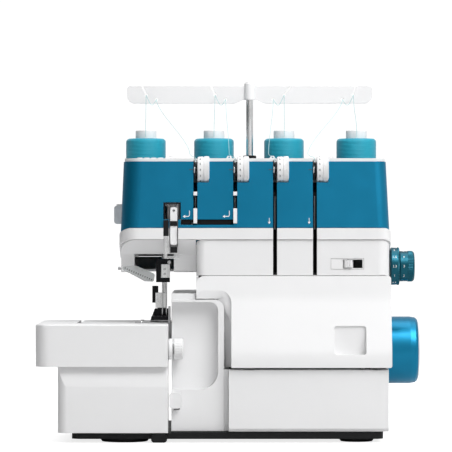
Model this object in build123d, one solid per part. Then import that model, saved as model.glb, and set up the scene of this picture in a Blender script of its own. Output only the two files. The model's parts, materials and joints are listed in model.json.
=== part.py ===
"""Serger (overlock) sewing machine, millimetres, +Z up, +X to the handwheel side, +Y to the back.

The origin is the middle of the footprint at the level that the rubber feet stand on. Each sub-part is one
STEP file in parts/. The casing is a stack: base plate, lower casing with its three front panels, middle
casing and head, a trim band, the tension cover and the top deck, with the spool tray and the thread stand
behind.
"""

import math
import os

from build123d import *

# ---- driving dimensions -------------------------------------------------------------------------------
TABLE_LEFT, CAP_RIGHT = -195.75, 195.75  # overall width, extension table to handwheel cap
FRONT, REAR = -150.0, 150.0  # overall depth, front cover to spool tray
TOP = 373.0  # top of the thread stand hub
WALL = 2.5  # casing wall
GAP = 0.4  # shut line between fixed casing pieces
RUNNING_FIT = 0.05  # radial clearance of a shaft in its bore
CLEAR = 0.5  # clearance between pieces that move past each other

BODY_X = (-59.5, 159.0)  # lower casing
COLUMN_LEFT = -34.5  # left face of the column above the bed
BODY_Y = (-133.0, 60.0)
FLOOR_Z = 11.5  # underside of the casing walls, on the base plate
BED_TOP = 149.5  # top of the lower casing left of the column
PANEL_TOP = 143.5  # top of the scooped panel in front of it
SEAM_Z = 167.6  # lower casing to middle casing

ARM_X = (-111.1, 160.5)  # head and arm, at the tension cover's foot
ARM_Y = (-127.0, 60.0)
ARM_TOP_X = (-108.5, 157.5)
ARM_TOP_Y = (-118.0, 57.0)
LEFT_CORNER, RIGHT_CORNER, BACK_CORNER = 19.0, 12.0, 20.0
COVER_FOOT, COVER_TOP = 215.8, 282.6  # tension cover
BAND_HEIGHT = 11.9
BAND_PROUD = 1.5
DIP_START, DIP_END, DIP = -126.0, -78.0, 18.7  # where the trim band falls toward the back, and how far
DECK_TOP = 286.8

SLOT_PITCH = 40.2
SLOT_X = [-35.5 + SLOT_PITCH * i for i in range(4)]  # thread slots
SLOT_HALF = 2.0
SLOT_FOOT = (219.7, 219.7, SEAM_Z + GAP, SEAM_Z + GAP)  # lower end of each slot
DIAL_X = (2.2, 13.2)  # tension dial, from the slot's middle
DIAL_RADIUS = 14.0
DIAL_Z = 274.0
DIAL_OPENING_FOOT = 261.5
DIAL_DEPTH = 9.0  # dial axle behind the cover's face

SHAFT_Y, SHAFT_Z, SHAFT_RADIUS = -45.0, 89.4, 5.0  # main shaft and handwheel
WHEEL_X, WHEEL_RADIUS = (160.0, 193.0), 34.5
SIDE_DIAL_Y, SIDE_DIAL_Z = -90.0, 176.5  # feed dials on the right
FEED_RING = (162.3, 171.7, 19.1)  # left end, right end, radius
STITCH_DIAL = (172.0, 187.2, 15.5)

NEEDLE_X, NEEDLE_Y = -67.6, -77.0
PRESSER_Y = -62.0
NEEDLE_BAR_RADIUS, PRESSER_BAR_RADIUS = 3.0, 2.5
PLATE_TOP = 120.0  # needle plate

STAND_X, STAND_Y = 21.0, 92.0  # thread stand
TUBE_RADIUS, POLE_RADIUS = 5.2, 3.75
GUIDE_X, GUIDE_Z = (-111.4, 153.0), (349.8, 368.4)
SPOOL_X = (-91.2, -17.5, 58.3, 136.6)
SPOOL_Y = 100.0
TRAY_Z = (232.0, 238.0)
SPOOL_TOP, CORE_TOP = 312.3, 320.9
WINDING_RADIUS, CORE_RADIUS, CORE_BORE = 21.65, 11.25, 9.0

HINGE_Y, HINGE_Z, HINGE_RADIUS = -147.3, 76.6, 0.8  # hinge rod of the front cover

parts = {}


# ---- helpers ------------------------------------------------------------------------------------------
def block(x, y, z):
    """A box between two limits along each axis."""
    spans = [(min(span), max(span)) for span in (x, y, z)]
    size = [high - low for low, high in spans]
    return Pos(*[(low + high) / 2 for low, high in spans]) * Box(*size)


def along_x(face, x):
    """A flat shape drawn in (Y, Z), from x[0] to x[1]."""
    return extrude(Plane.YZ.offset(x[0]) * face, x[1] - x[0])


def along_y(face, y):
    """A flat shape drawn in (X, Z), from y[0] to y[1]."""
    return extrude(Plane.XZ.offset(-y[1]) * face, y[1] - y[0])


def along_z(face, z):
    """A flat shape drawn in (X, Y), from z[0] to z[1]."""
    return extrude(Plane.XY.offset(z[0]) * face, z[1] - z[0])


def outline(*corners):
    """A closed flat outline from (x, y) or (x, y, radius) corners."""
    face = make_face(Polyline(*[corner[:2] for corner in corners], close=True))
    for corner in corners:
        if len(corner) == 3 and corner[2]:
            vertex = face.vertices().sort_by_distance((corner[0], corner[1], 0))[0]
            face = fillet(vertex, corner[2])
    return face


def plan(x, y, front_left, front_right, back, grow=0.0):
    """A rounded rectangle in (X, Y), grown outward by grow."""
    left, right, front, rear = x[0] - grow, x[1] + grow, y[0] - grow, y[1] + grow
    return outline(
        (left, front, front_left + grow),
        (right, front, front_right + grow),
        (right, rear, back + grow),
        (left, rear, back + grow),
    )


def disc_x(y, z, radius, x):
    """A cylinder along X."""
    return along_x(Pos(y, z) * Circle(radius), x)


def disc_y(x, z, radius, y):
    """A cylinder along Y."""
    return along_y(Pos(x, z) * Circle(radius), y)


def disc_z(x, y, radius, z):
    """A cylinder along Z."""
    return along_z(Pos(x, y) * Circle(radius), z)


def turned_x(y, z, *profile):
    """A body of revolution about an axis along X, from (x, radius) points."""
    points = [(profile[0][0], 0), *profile, (profile[-1][0], 0)]
    face = make_face(Plane.XY * Polyline(*points, close=True))
    return Pos(0, y, z) * revolve(face, Axis.X)


def turned_z(x, y, *profile):
    """A body of revolution about an axis along Z, from (radius, z) points."""
    points = [(0, profile[0][1]), *profile, (0, profile[-1][1])]
    face = make_face(Plane.XZ * Polyline(*points, close=True))
    return Pos(x, y, 0) * revolve(face, Axis.Z)


def cover_front(z):
    """Y of the tension cover's front face at a height."""
    rise = (z - COVER_FOOT) / (COVER_TOP - COVER_FOOT)
    return ARM_Y[0] + max(rise, 0) * (ARM_TOP_Y[0] - ARM_Y[0])


def below_seam(drop, shift=0.0):
    """Everything under the tension cover's lower edge, drop lower, as a slab along X."""
    level = COVER_FOOT - drop - shift
    far, deep = 400.0, -200.0
    profile = Polyline(
        (-far, level), (DIP_START, level), (DIP_END, level - DIP), (far, level - DIP), (far, deep),
        (-far, deep), close=True,
    )
    return along_x(make_face(profile), (-far, far))


def inward(limits, margin):
    """A pair of limits moved toward each other by a margin."""
    return limits[0] + margin, limits[1] - margin


def add(name, shape):
    """Keep one named sub-part."""
    parts[name] = shape


# ---- base ---------------------------------------------------------------------------------------------
BASE_X, BASE_Y, BASE_Z = (-159.5, 153.5), (-143.0, 58.0), (4.0, FLOOR_Z - 0.5)
PLATFORM_TOP = 9.7  # left platform, under the extension table
FOOT_HEIGHT = 4.0
FEET = ((-107.0, -112.0, 26.0), (127.5, -112.0, 19.0), (-120.0, 38.0, 16.0), (127.5, 38.0, 16.0))


def base_plate():
    """Bottom plate with a lower platform on the left and air slots under the motor."""
    corner, slot_count, slot_step = 10.0, 6, 7.0
    face = outline(
        (BASE_X[0], BASE_Y[0], corner), (BASE_X[1], BASE_Y[0], corner),
        (BASE_X[1], BASE_Y[1], corner), (BASE_X[0], BASE_Y[1], corner),
    )
    plate = along_z(face, BASE_Z)
    plate -= block((BASE_X[0] - 1, BODY_X[0]), (-200, 200), (PLATFORM_TOP, BASE_Z[1] + 1))
    for index in range(slot_count):
        left = 70.0 + slot_step * index
        plate -= block((left, left + 3.0), (0.0, 40.0), (0, BASE_Z[1] + 1))
    return plate + table_catch()


def rubber_feet():
    """Four tapered feet; the front left one is a wide pad."""
    feet = []
    for x, y, radius in FEET:
        feet.append(turned_z(x, y, (radius - 3.0, 0.0), (radius, FOOT_HEIGHT)))
    return Compound(children=feet)


def table_catch():
    """Small rounded catch that the extension table clicks onto."""
    x, y = (-79.5, -63.5), (-149.5, BASE_Y[0])
    face = outline((x[0], 0.8, 3.0), (x[1], 0.8, 3.0), (x[1], 9.3, 4.0), (x[0], 9.3, 4.0))
    return along_y(face, y)


def main_frame():
    """Cast frame: floor, bulkhead behind the looper bay and bearing walls for the main shaft."""
    bulkhead_y, thick = (-62.0, -57.0), 5.0
    left, right = BODY_X[0] + WALL + 1.0, BODY_X[1] - WALL - 1.0
    frame = block((left, right), bulkhead_y, (FLOOR_Z, BED_TOP - WALL - 1.0))
    frame += block((left, right), (-126.0, 40.0), (FLOOR_Z, FLOOR_Z + 4.0))
    frame += block((COLUMN_LEFT + 6.0, right), bulkhead_y, (BED_TOP - 5.0, 205.0))
    for x in (-30.0, 60.0, 110.0, 148.0):
        frame += block((x, x + thick), (bulkhead_y[1], -30.0), (FLOOR_Z, 105.0))
    frame -= disc_x(SHAFT_Y, SHAFT_Z, SHAFT_RADIUS + RUNNING_FIT, (-200, 200))
    frame += looper_tray() + looper_shafts() + side_dial_axle()
    return frame - block((BELT_X[0] - 3.5, BELT_X[1] + 3.5), (-75.0, -50.0), (58.0, 120.0))


# ---- casing -------------------------------------------------------------------------------------------
SWITCH_X = (BODY_X[1] - 4.0, BODY_X[1] + 1.0)
SWITCH_Y, SWITCH_Z = (12.0, 34.0), (48.0, 63.0)
INLET_Y, INLET_Z = (8.0, 38.0), (20.0, 42.0)
NEEDLE_SLOT_Y = (-105.0, -40.0)  # opening from the looper bay into the free arm
COVER_ROOM_Y = -123.5  # the front cover's rim stays in front of this
LOWER_PANEL_X, LOWER_PANEL_TOP = (-2.0, 158.5), 73.5
LEFT_PANEL_X, LEFT_PANEL_FRONT = (-59.5, -6.5), -137.0
LEVER_SLOT_Z = (33.0, 49.5)  # slot of the threading lever
SCOOP_X, SCOOP_Z, SCOOP_DEPTH = (-75.0, -12.5), (53.5, 141.0), 12.0


def shell(face, z):
    """An upright casing wall along a flat outline."""
    return along_z(face, z) - along_z(offset(face, -WALL), (z[0] - 1, z[1] + 1))


def lower_casing():
    """Back, sides and bed top of the lower casing, open at the front and, right of the bed, at the top."""
    face = outline(
        (BODY_X[0], BODY_Y[0]), (BODY_X[1], BODY_Y[0]), (BODY_X[1], BODY_Y[1], BACK_CORNER),
        (BODY_X[0], BODY_Y[1], BACK_CORNER),
    )
    front = BODY_Y[0] - 1
    casing = along_z(face, (FLOOR_Z, SEAM_Z)) - along_z(offset(face, -WALL), (0, BED_TOP - WALL))
    casing -= block((BODY_X[0] - 1, COLUMN_LEFT), (front, BODY_Y[1] + 1), (BED_TOP, SEAM_Z + 1))
    rear_room = plan(
        (COLUMN_LEFT + WALL, BODY_X[1] - WALL), (front, BODY_Y[1] - WALL), 0, 0, BACK_CORNER - WALL,
    )
    casing -= along_z(rear_room, (BED_TOP - WALL - 1, SEAM_Z + 1))
    casing -= block((BODY_X[0] + WALL, BODY_X[1] - WALL), (front, BODY_Y[0] + 5), (0, BED_TOP - WALL))
    behind_cover = (front, COVER_ROOM_Y)
    casing -= block((BODY_X[0] - 1, COLUMN_LEFT + WALL + 1), behind_cover, (PANEL_TOP - WALL, SEAM_Z + 1))
    casing -= block((BODY_X[0] - 1, BODY_X[0] + WALL + 1), (front, -122.0), (SCOOP_Z[0] - 2, BED_TOP))
    casing -= block((BODY_X[1] - WALL - 1, BODY_X[1] + 1), behind_cover, (LOWER_PANEL_TOP, SEAM_Z + 1))
    casing -= disc_x(SHAFT_Y, SHAFT_Z, SHAFT_RADIUS + 3.0, (BODY_X[1] - 10, BODY_X[1] + 10))
    for row in range(8):
        level = 30.0 + 6.0 * row
        casing -= block((70.0, 130.0), (BODY_Y[1] - 10, BODY_Y[1] + 10), (level, level + 2.4))
    casing -= block(SWITCH_X, SWITCH_Y, SWITCH_Z) + block(SWITCH_X, INLET_Y, INLET_Z)
    casing -= block((BODY_X[0] - 1, BODY_X[0] + WALL + 1), NEEDLE_SLOT_Y, (96.0, PLATE_TOP))
    return casing


def lower_front_panel():
    """Shallow tray below the front cover, bevelled at the foot."""
    x, z, front, rear, bevel = LOWER_PANEL_X, (FLOOR_Z, LOWER_PANEL_TOP), -146.0, BODY_Y[0] - GAP, 3.0
    profile = outline(
        (front, z[0] + bevel), (front + bevel, z[0]), (rear, z[0]), (rear, z[1]), (front, z[1], 1.0),
    )
    inner = block((x[0] + WALL, x[1] - WALL), (front + WALL, rear + 1), (z[0] + WALL, z[1] - WALL))
    return along_x(profile, x) - inner


def left_front_panel():
    """Panel below the needle with a scooped recess, and recessed strips that close its gap to the covers."""
    face = outline(
        (LEFT_PANEL_X[0], FLOOR_Z), (LEFT_PANEL_X[1], FLOOR_Z), (LEFT_PANEL_X[1], PANEL_TOP, 10.0),
        (LEFT_PANEL_X[0], PANEL_TOP),
    )
    scoop = outline(
        (SCOOP_X[0], SCOOP_Z[0]), (SCOOP_X[1], SCOOP_Z[0], 18.0), (SCOOP_X[1], SCOOP_Z[1], 9.0),
        (SCOOP_X[0], SCOOP_Z[1]),
    )
    rear = BODY_Y[0] - GAP
    floor_y = LEFT_PANEL_FRONT + SCOOP_DEPTH
    dish_y = (rear - 1, floor_y + WALL)
    dish = along_y(offset(scoop, WALL - 0.5), dish_y)
    dish &= block((BODY_X[0] + 0.2, LEFT_PANEL_X[1]), dish_y, (FLOOR_Z, SCOOP_Z[1] + WALL))
    panel = along_y(face, (LEFT_PANEL_FRONT, rear)) + dish - along_y(scoop, (LEFT_PANEL_FRONT - 1, floor_y))
    panel -= block((-57.0, -51.0), (LEFT_PANEL_FRONT - 1, rear + 1), LEVER_SLOT_Z)
    strip_x = (LEFT_PANEL_X[1] - 1, LOWER_PANEL_X[0] - GAP)
    panel += block(strip_x, (rear - 2, rear), (FLOOR_Z, LOWER_PANEL_TOP))
    panel += block((-16.0, -1.5), (COVER_ROOM_Y + 0.1, floor_y + WALL + 1), (LOWER_PANEL_TOP, BED_TOP - 3))
    ledge_y, ledge_z = (-128.0, COVER_ROOM_Y - GAP), (SCOOP_Z[1], BED_TOP - 0.2)
    panel += block((BODY_X[0] + 0.3, COLUMN_LEFT - 0.7), ledge_y, ledge_z)
    return panel + knob_bracket()


COVER_X, COVER_Z, COVER_BACK = (0.75, 161.75), (75.5, 167.2), -127.4
STRIP_LEFT, STRIP_FOOT, SPIKE_FOOT = -34.5, 153.5, 144.2  # the cover's strip over the left panel
COVE, COVE_FRONT = 6.3, -131.0  # slanted return along the arch
LUG_X = ((20.0, 23.0), (148.0, 151.0))  # hinge lugs of the front cover
BARREL_X = ((26.5, 36.5), (130.0, 140.0))
LUG_RADIUS, LUG_FOOT, LUG_TOP = 1.5, 75.4, 78.0
COVER_SLIDE = 6.0
FINGER_X, FINGER_Z, FINGER_FLOOR = (104.0, 136.0), (88.5, 117.0), -139.5
COVER_SKIN = 2.2


def arch_outline():
    """Front outline of the looper cover in (X, Z), run out past its straight right, top and lower edges."""
    reach = 30.0
    left, right, low, high = COVER_X[0], COVER_X[1] + reach, COVER_Z[0] - reach, COVER_Z[1] + reach
    spike = STRIP_LEFT + 0.6
    return outline(
        (left, low), (right, low), (right, high), (STRIP_LEFT - reach, high),
        (STRIP_LEFT - reach, SPIKE_FOOT - reach), (spike, SPIKE_FOOT - reach), (spike, STRIP_FOOT, 9.0),
        (left, STRIP_FOOT, 14.0),
    )


def cover_shape(inset):
    """The bulging looper cover as a solid, every outer face moved inward by inset."""
    rim = offset(arch_outline(), -inset) if inset else arch_outline()
    body = along_y(rim, (FRONT - 1, COVE_FRONT))
    body += extrude(Plane.XZ.offset(-COVE_FRONT - COVE) * offset(rim, COVE), COVE, taper=45)
    left, right = STRIP_LEFT + inset, COVER_X[1] - inset
    foot, top = COVER_Z[0] + inset, COVER_Z[1] - inset
    body &= along_y(
        outline((left, foot), (right, foot, 2.0), (right, top, 3.0), (left, top, 8.0)), (FRONT - 1, 0),
    )
    body -= block((STRIP_LEFT - 50, STRIP_LEFT + 22), (FRONT - 2, 0), (0, SPIKE_FOOT + inset))
    front, top_front, back = FRONT + inset, -128.6 + inset, COVE_FRONT + COVE
    top_back = COVER_BACK + 2 * inset
    profile = outline(
        (front, foot), (front, 88.0, 40.0), (top_front - 3.5, 145.0, 60.0), (top_front, top),
        (top_back, top), (top_back, STRIP_FOOT + 1), (back + 1, STRIP_FOOT - 1), (back + 1, foot),
    )
    return body & along_x(profile, (-100, 200))


def front_cover():
    """Looper cover: a thin shell with a finger recess and barrels on the hinge rod."""
    recess = outline(
        (FINGER_X[0], FINGER_Z[0], 3.0), (FINGER_X[1], FINGER_Z[0], 3.0), (FINGER_X[1], FINGER_Z[1], 3.0),
        (FINGER_X[0], FINGER_Z[1], 3.0),
    )
    outer = cover_shape(0)
    cover = outer - cover_shape(COVER_SKIN)
    cover -= block((COVER_X[0] + 3, COVER_X[1] - 3), (-144.0, COVER_BACK + 9), (FLOOR_Z, COVER_Z[0] + 3))
    cover += along_y(offset(recess, 2.0), (FINGER_FLOOR - 6, FINGER_FLOOR + 2)) & outer
    cover -= along_y(recess, (FRONT - 1, FINGER_FLOOR))
    for span in BARREL_X:
        cover += block(span, (FRONT + 1, HINGE_Y + 2.2), (COVER_Z[0] + 0.1, HINGE_Z + 2.9))
    cover -= disc_x(HINGE_Y, HINGE_Z, HINGE_RADIUS + RUNNING_FIT, (COVER_X[0] + 3, COVER_X[1] - 3))
    for span in LUG_X:
        notch_y = (HINGE_Y - LUG_RADIUS - 0.35, COVER_BACK)
        cover -= block((span[0] - COVER_SLIDE - 0.6, span[1] + 0.6), notch_y, (FLOOR_Z, LUG_TOP + 1.2))
    return cover


def hinge_rod():
    """Steel rod that the front cover turns on and slides with."""
    return disc_x(HINGE_Y, HINGE_Z, HINGE_RADIUS, (COVER_X[0] + 4, COVER_X[1] - 4))


def looper_tray():
    """Lint tray under the loopers, with the two lugs that carry the hinge rod."""
    z, arm_back, back = (64.0, 66.5), -122.0, -62.0
    tray = block((LEFT_PANEL_X[1], BODY_X[1] - WALL - GAP), (-130.0, back), z)
    for span in LUG_X:
        tray += block(span, (HINGE_Y, arm_back), (LUG_FOOT, LUG_TOP))
        tray += block(span, (arm_back - 4, arm_back), (z[0], LUG_TOP))
        tray += disc_x(HINGE_Y, HINGE_Z, LUG_RADIUS, span)
        tray -= disc_x(HINGE_Y, HINGE_Z, HINGE_RADIUS + RUNNING_FIT, (span[0] - 1, span[1] + 1))
    return tray


SWITCH_SLOT_X, SWITCH_SLOT_Z = (113.5, 133.0), (175.0, 183.6)  # slider switch
SLIDER_WIDTH = 8.0


def arm_plan(grow=0.0):
    """Plan of the head and arm."""
    return plan(ARM_X, ARM_Y, LEFT_CORNER, RIGHT_CORNER, BACK_CORNER, grow)


SLOT_BACK = -104.0


def slot_cuts():
    """The four thread slots as cutting blocks, open at the top."""
    cuts = []
    for middle, foot in zip(SLOT_X, SLOT_FOOT):
        width = (middle - SLOT_HALF, middle + SLOT_HALF)
        cuts.append(block(width, (-140.0, SLOT_BACK), (foot, DECK_TOP + 1)))
    return cuts


def middle_casing():
    """Column casing between the front cover's seam and the trim band."""
    face = outline(
        (COLUMN_LEFT, ARM_Y[0], 9.0), (ARM_X[1], ARM_Y[0], RIGHT_CORNER), (ARM_X[1], ARM_Y[1], BACK_CORNER),
        (COLUMN_LEFT, ARM_Y[1]),
    )
    casing = shell(face, (SEAM_Z, COVER_FOOT)) & below_seam(BAND_HEIGHT, GAP)
    for cut in slot_cuts()[2:]:
        casing -= cut
    casing -= block((COLUMN_LEFT - 1, COLUMN_LEFT + WALL + 1), (-100.0, 40.0), (180.0, COVER_FOOT))
    casing -= block(SWITCH_SLOT_X, (ARM_Y[0] - 1, ARM_Y[0] + WALL + 1), SWITCH_SLOT_Z)
    return casing - disc_x(SIDE_DIAL_Y, SIDE_DIAL_Z, 4.0, (ARM_X[1] - 5, ARM_X[1] + 5))


HEAD_BOTTOM = 170.5
HEAD_MOUTH_X, HEAD_MOUTH_Y = (-97.5, -57.5), (-108.0, -46.0)  # opening that the bars come out of


def head_casing():
    """Head left of the column, its underside slanting back from the trim band."""
    left, right, high = ARM_X[0], COLUMN_LEFT - GAP, COVER_FOOT
    profile = outline(
        (ARM_Y[0], high), (ARM_Y[0], 203.9), (-105.0, 188.7, 3.0), (-100.0, HEAD_BOTTOM, 4.0),
        (ARM_Y[1], HEAD_BOTTOM), (ARM_Y[1], high),
    )
    body = along_x(profile, (left, right)) & along_z(arm_plan(), (HEAD_BOTTOM - 1, high + 1))
    hollow = along_x(offset(profile, -WALL), (left + WALL, right + 1))
    hollow &= along_z(arm_plan(-WALL), (HEAD_BOTTOM - 1, high + 1))
    head = (body - hollow) & below_seam(BAND_HEIGHT, GAP)
    head -= block(HEAD_MOUTH_X, HEAD_MOUTH_Y, (HEAD_BOTTOM - 1, 189.0))
    head -= block((-105.5, -99.0), (-30.0, -8.0), (HEAD_BOTTOM - 1, HEAD_BOTTOM + 4))
    head -= block((ARM_X[0] - 1, -105.0), (-26.0, -17.0), (HEAD_BOTTOM + 0.8, 184.2))
    return head - block((-61.5, -53.0), (-130.0, -112.0), (187.5, 205.0))


def trim_band():
    """White band under the tension cover, a little prouder than the casing."""
    band = along_z(arm_plan(BAND_PROUD), (150.0, 240.0)) - along_z(arm_plan(-WALL), (149.0, 241.0))
    band &= below_seam(0, GAP)
    band -= below_seam(BAND_HEIGHT)
    for cut in slot_cuts()[2:]:
        band -= cut
    return band - block(TAKE_UP_SLOT_X, (-140.0, -100.0), (190.0, 230.0))


TAKE_UP_SLOT_X = (-61.8, -52.8)  # slot of the take-up lever
WINDOW_X, WINDOW_Z = (-67.8, -50.2), (224.0, 241.4)
GROOVE_X, GROOVE_Z = (-50.2, 2.7), (218.6, 224.1)


def tension_cover():
    """Drafted cover over the tension units, with thread slots, dial openings and the take-up window."""
    rise = COVER_TOP - COVER_FOOT
    low = COVER_FOOT - DIP - 6.0
    part = (COVER_FOOT - low) / rise

    def section(inset, share):
        """Plan of the cover at a share of its height, inset from its outer face."""
        spans = []
        for foot, top in ((ARM_X, ARM_TOP_X), (ARM_Y, ARM_TOP_Y)):
            spans.append(tuple(a + (b - a) * share for a, b in zip(foot, top)))
        return plan(*spans, LEFT_CORNER, RIGHT_CORNER, BACK_CORNER, -inset)

    def solid(inset):
        """The drafted block, inset from its outer faces."""
        foot, top = Plane.XY.offset(low), Plane.XY.offset(COVER_TOP)
        return loft([foot * section(inset, -part), top * section(inset, 1)], ruled=True)

    cover = (solid(0) - solid(WALL)) - below_seam(0)
    for index, cut in enumerate(slot_cuts()):
        cover -= cut
        cover -= block(
            (SLOT_X[index] + DIAL_X[0] - CLEAR, SLOT_X[index] + DIAL_X[1] + CLEAR), (-140.0, -100.0),
            (DIAL_OPENING_FOOT, DECK_TOP),
        )
    cover -= block(WINDOW_X, (-140.0, -100.0), WINDOW_Z)
    cover -= block(TAKE_UP_SLOT_X, (-140.0, -100.0), (190.0, WINDOW_Z[0] + 1))
    return cover - block(GROOVE_X, (-140.0, -100.0), GROOVE_Z)


def top_deck():
    """White top plate with dial openings, a collar for the pole and low bumps at its left front."""
    x, z = (-108.0, 157.0), (COVER_TOP + 0.1, DECK_TOP - 0.8)
    deck = along_z(plan(x, ARM_TOP_Y, LEFT_CORNER, RIGHT_CORNER, BACK_CORNER, -0.6), z)
    for index in range(5):
        deck += turned_z(-92.0 + 7.0 * index, -104.0, (3.2, z[1]), (2.4, z[1] + 0.8))
    for index, cut in enumerate(slot_cuts()):
        deck -= cut
        deck -= block(
            (SLOT_X[index] + DIAL_X[0] - CLEAR, SLOT_X[index] + DIAL_X[1] + CLEAR), (-140.0, -97.0),
            (COVER_TOP, DECK_TOP + 1),
        )
    return deck + deck_thread_guides()


# ---- thread path --------------------------------------------------------------------------------------
DIAL_Y = cover_front(DIAL_Z) + DIAL_DEPTH
AXLE_RADIUS = 2.5
LINER_TOP = 254.0


def tension_frame():
    """Beam behind the dials with four forks that hold the dial axles."""
    beam_y, beam_z = (-93.5, -89.0), (262.0, 280.0)
    frame = block((SLOT_X[0] - 12, SLOT_X[3] + 20), beam_y, beam_z)
    for middle in SLOT_X:
        frame += disc_x(DIAL_Y, DIAL_Z, AXLE_RADIUS, (middle - 5.0, middle + 16.0))
        for x in (middle - 6.5, middle + DIAL_X[1] + 1.3):
            frame += block((x, x + 2.0), (DIAL_Y - 4, beam_y[0]), (DIAL_Z - 5, DIAL_Z + 5))
    return frame


def tension_discs():
    """A pair of polished discs beside each dial, inside the slot."""
    discs = []
    for middle in SLOT_X:
        for x in (-1.9, 0.5):
            ring = disc_x(DIAL_Y, DIAL_Z, 10.0, (middle + x, middle + x + 1.0))
            ring -= disc_x(DIAL_Y, DIAL_Z, AXLE_RADIUS, (middle - 3, middle + 3))
            discs.append(ring)
    return Compound(children=discs)


def tension_dial(middle):
    """Barrel shaped dial: a smooth band for the scale on the left, a knurled band on the right."""
    left, right = middle + DIAL_X[0], middle + DIAL_X[1]
    step = left + 5.6
    dial = turned_x(
        DIAL_Y, DIAL_Z, (left, DIAL_RADIUS - 1.0), (left + 1.0, DIAL_RADIUS - 0.3),
        (step, DIAL_RADIUS), (step + 0.1, DIAL_RADIUS - 0.8), (step + 0.8, DIAL_RADIUS - 0.8),
        (step + 0.9, DIAL_RADIUS), (right - 1.0, DIAL_RADIUS - 0.3), (right, DIAL_RADIUS - 1.0),
    )
    bore = AXLE_RADIUS + RUNNING_FIT
    return dial - disc_x(DIAL_Y, DIAL_Z, bore, (left - 1, right + 1))


def slot_channels():
    """Dark liners behind the thread slots, each with a guide rod and a small crossbar."""
    liners = []
    side, floor, back = SLOT_HALF + 1.5, 1.5, WALL + 0.4
    for middle, foot in zip(SLOT_X, SLOT_FOOT):
        low = foot + 0.5
        knee = [(ARM_Y[0] + back, COVER_FOOT)] if low < COVER_FOOT else []
        profile = make_face(Polyline(
            (cover_front(low) + back, low), *knee, (cover_front(LINER_TOP) + back, LINER_TOP),
            (SLOT_BACK + 2.0, LINER_TOP), (SLOT_BACK + 2.0, low), close=True,
        ))
        liner = along_x(profile, (middle - side, middle + side))
        groove_z = (low + floor, LINER_TOP + 1)
        liner -= block((middle - SLOT_HALF, middle + SLOT_HALF), (-140.0, SLOT_BACK), groove_z)
        liner += disc_z(middle, -112.0, 0.9, (low + floor, 250.0))
        liner += block((middle - SLOT_HALF, middle + SLOT_HALF), (-115.5, -109.0), (248.0, 251.4))
        liners.append(liner)
    return Compound(children=liners)


DECK_GUIDE_X = (-60.8, -1.3, 42.9, 103.1)


def deck_thread_guides():
    """A low guide with an eye on the deck for each thread."""
    guides, low, high, eye = Part(), DECK_TOP - 0.8, DECK_TOP + 2.4, 0.8
    for x in DECK_GUIDE_X:
        face = outline((x - 3.5, low), (x + 3.5, low), (x + 1.6, high, 1.0), (x - 1.6, high, 1.0))
        guides += along_y(face, (-84.0, -82.0)) - disc_y(x, high - 1.4, eye, (-90.0, -80.0))
    return guides


def take_up_window():
    """Black frame lining the take-up window and the slot under it."""
    frame = block(inward(WINDOW_X, 0.3), (-123.0, -108.0), inward(WINDOW_Z, 0.3))
    frame -= block(inward(WINDOW_X, 1.6), (-140, -100), (WINDOW_Z[0] - 1, WINDOW_Z[1] - 1.6))
    groove = block(inward(GROOVE_X, 0.3), (-123.0, -121.5), inward(GROOVE_Z, 0.3))
    for cut in slot_cuts()[:2]:
        groove -= cut
        middle = cut.center().X
        groove -= block((middle - SLOT_HALF - 1.9, middle + SLOT_HALF + 1.9), (-130, -100), (200, 230))
    return frame + groove


def take_up_lever():
    """White take-up lever: a face plate in the slot and a stem that runs back to the needle bar drive."""
    face = outline((-60.8, 198.5, 2.0), (-53.7, 198.5, 2.0), (-53.7, 236.5, 2.5), (-60.8, 236.5, 2.5))
    lever = along_y(face, (-126.0, -122.5))
    lever += block((-59.2, -55.4), (-122.5, -84.0), (226.0, 231.0))
    return lever - disc_y(-57.2, 233.0, 1.2, (-130, -120))


def head_thread_guide():
    """Polished strip under the take-up slot that turns back to a small plate at the mouth of the head."""
    strip_x = (-66.6, -62.4)
    strip = block(strip_x, (-129.6, -128.7), (190.0, 207.0))
    strip += block(strip_x, (-128.7, -118.0), (189.2, 190.2))
    strip += block((-65.4, -52.3), (-119.5, -108.5), (184.6, 185.8))
    return strip + block((-66.6, -64.0), (-119.5, -118.0), (184.6, 190.2))


def needle_guard():
    """Clear guard in front of the needles, hanging from the left of the head's mouth."""
    face = outline(
        (-110.0, 176.5, 2.0), (-96.0, 177.5), (-76.5, 169.0, 2.0), (-77.5, 161.0, 2.0), (-87.0, 161.5),
        (-109.0, 173.2, 1.0),
    )
    return along_y(face, (-112.5, -110.5))


def thread_cutter():
    """Thread cutter on the left of the head, a block with a slot for the thread."""
    x, y, z = (-119.9, -111.4), (-58.0, -44.0), (219.6, 238.5)
    face = outline((x[0], z[0], 3.0), (x[1], z[0]), (x[1], z[1]), (x[0], z[1], 3.0))
    return along_y(face, y) - block((x[0] - 1, x[1] - 1.6), (-52.0, -50.6), (z[0] + 4, z[1] + 1))


# ---- needle and presser drive -------------------------------------------------------------------------
LEVER_Y, LEVER_Z = 20.0, 190.0  # pivot of the presser lever


def head_frame():
    """Cast upright in the head with bushes for the needle bar and the presser bar, and the lever pin."""
    frame = block((-84.0, COLUMN_LEFT - 4), (-56.0, -50.5), (192.0, 250.0))
    for z in ((194.0, 202.0), (238.0, 246.0)):
        frame += block((NEEDLE_X - 6, NEEDLE_X + 6), (NEEDLE_Y - 6, -50.5), z)
    frame += block((-98.0, -95.0), (-52.0, LEVER_Y + 5), (LEVER_Z - 4, LEVER_Z + 6))
    frame += block((-98.0, -80.0), (-54.0, -50.5), (192.0, 200.0))
    frame += disc_x(LEVER_Y, LEVER_Z, 2.0, (-105.0, -97.0))
    frame -= disc_z(NEEDLE_X, NEEDLE_Y, NEEDLE_BAR_RADIUS + RUNNING_FIT, (150, 280))
    frame -= disc_z(NEEDLE_X, PRESSER_Y, PRESSER_BAR_RADIUS + RUNNING_FIT, (150, 280))
    return Compound(children=[frame, head_thread_guide()])


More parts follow.
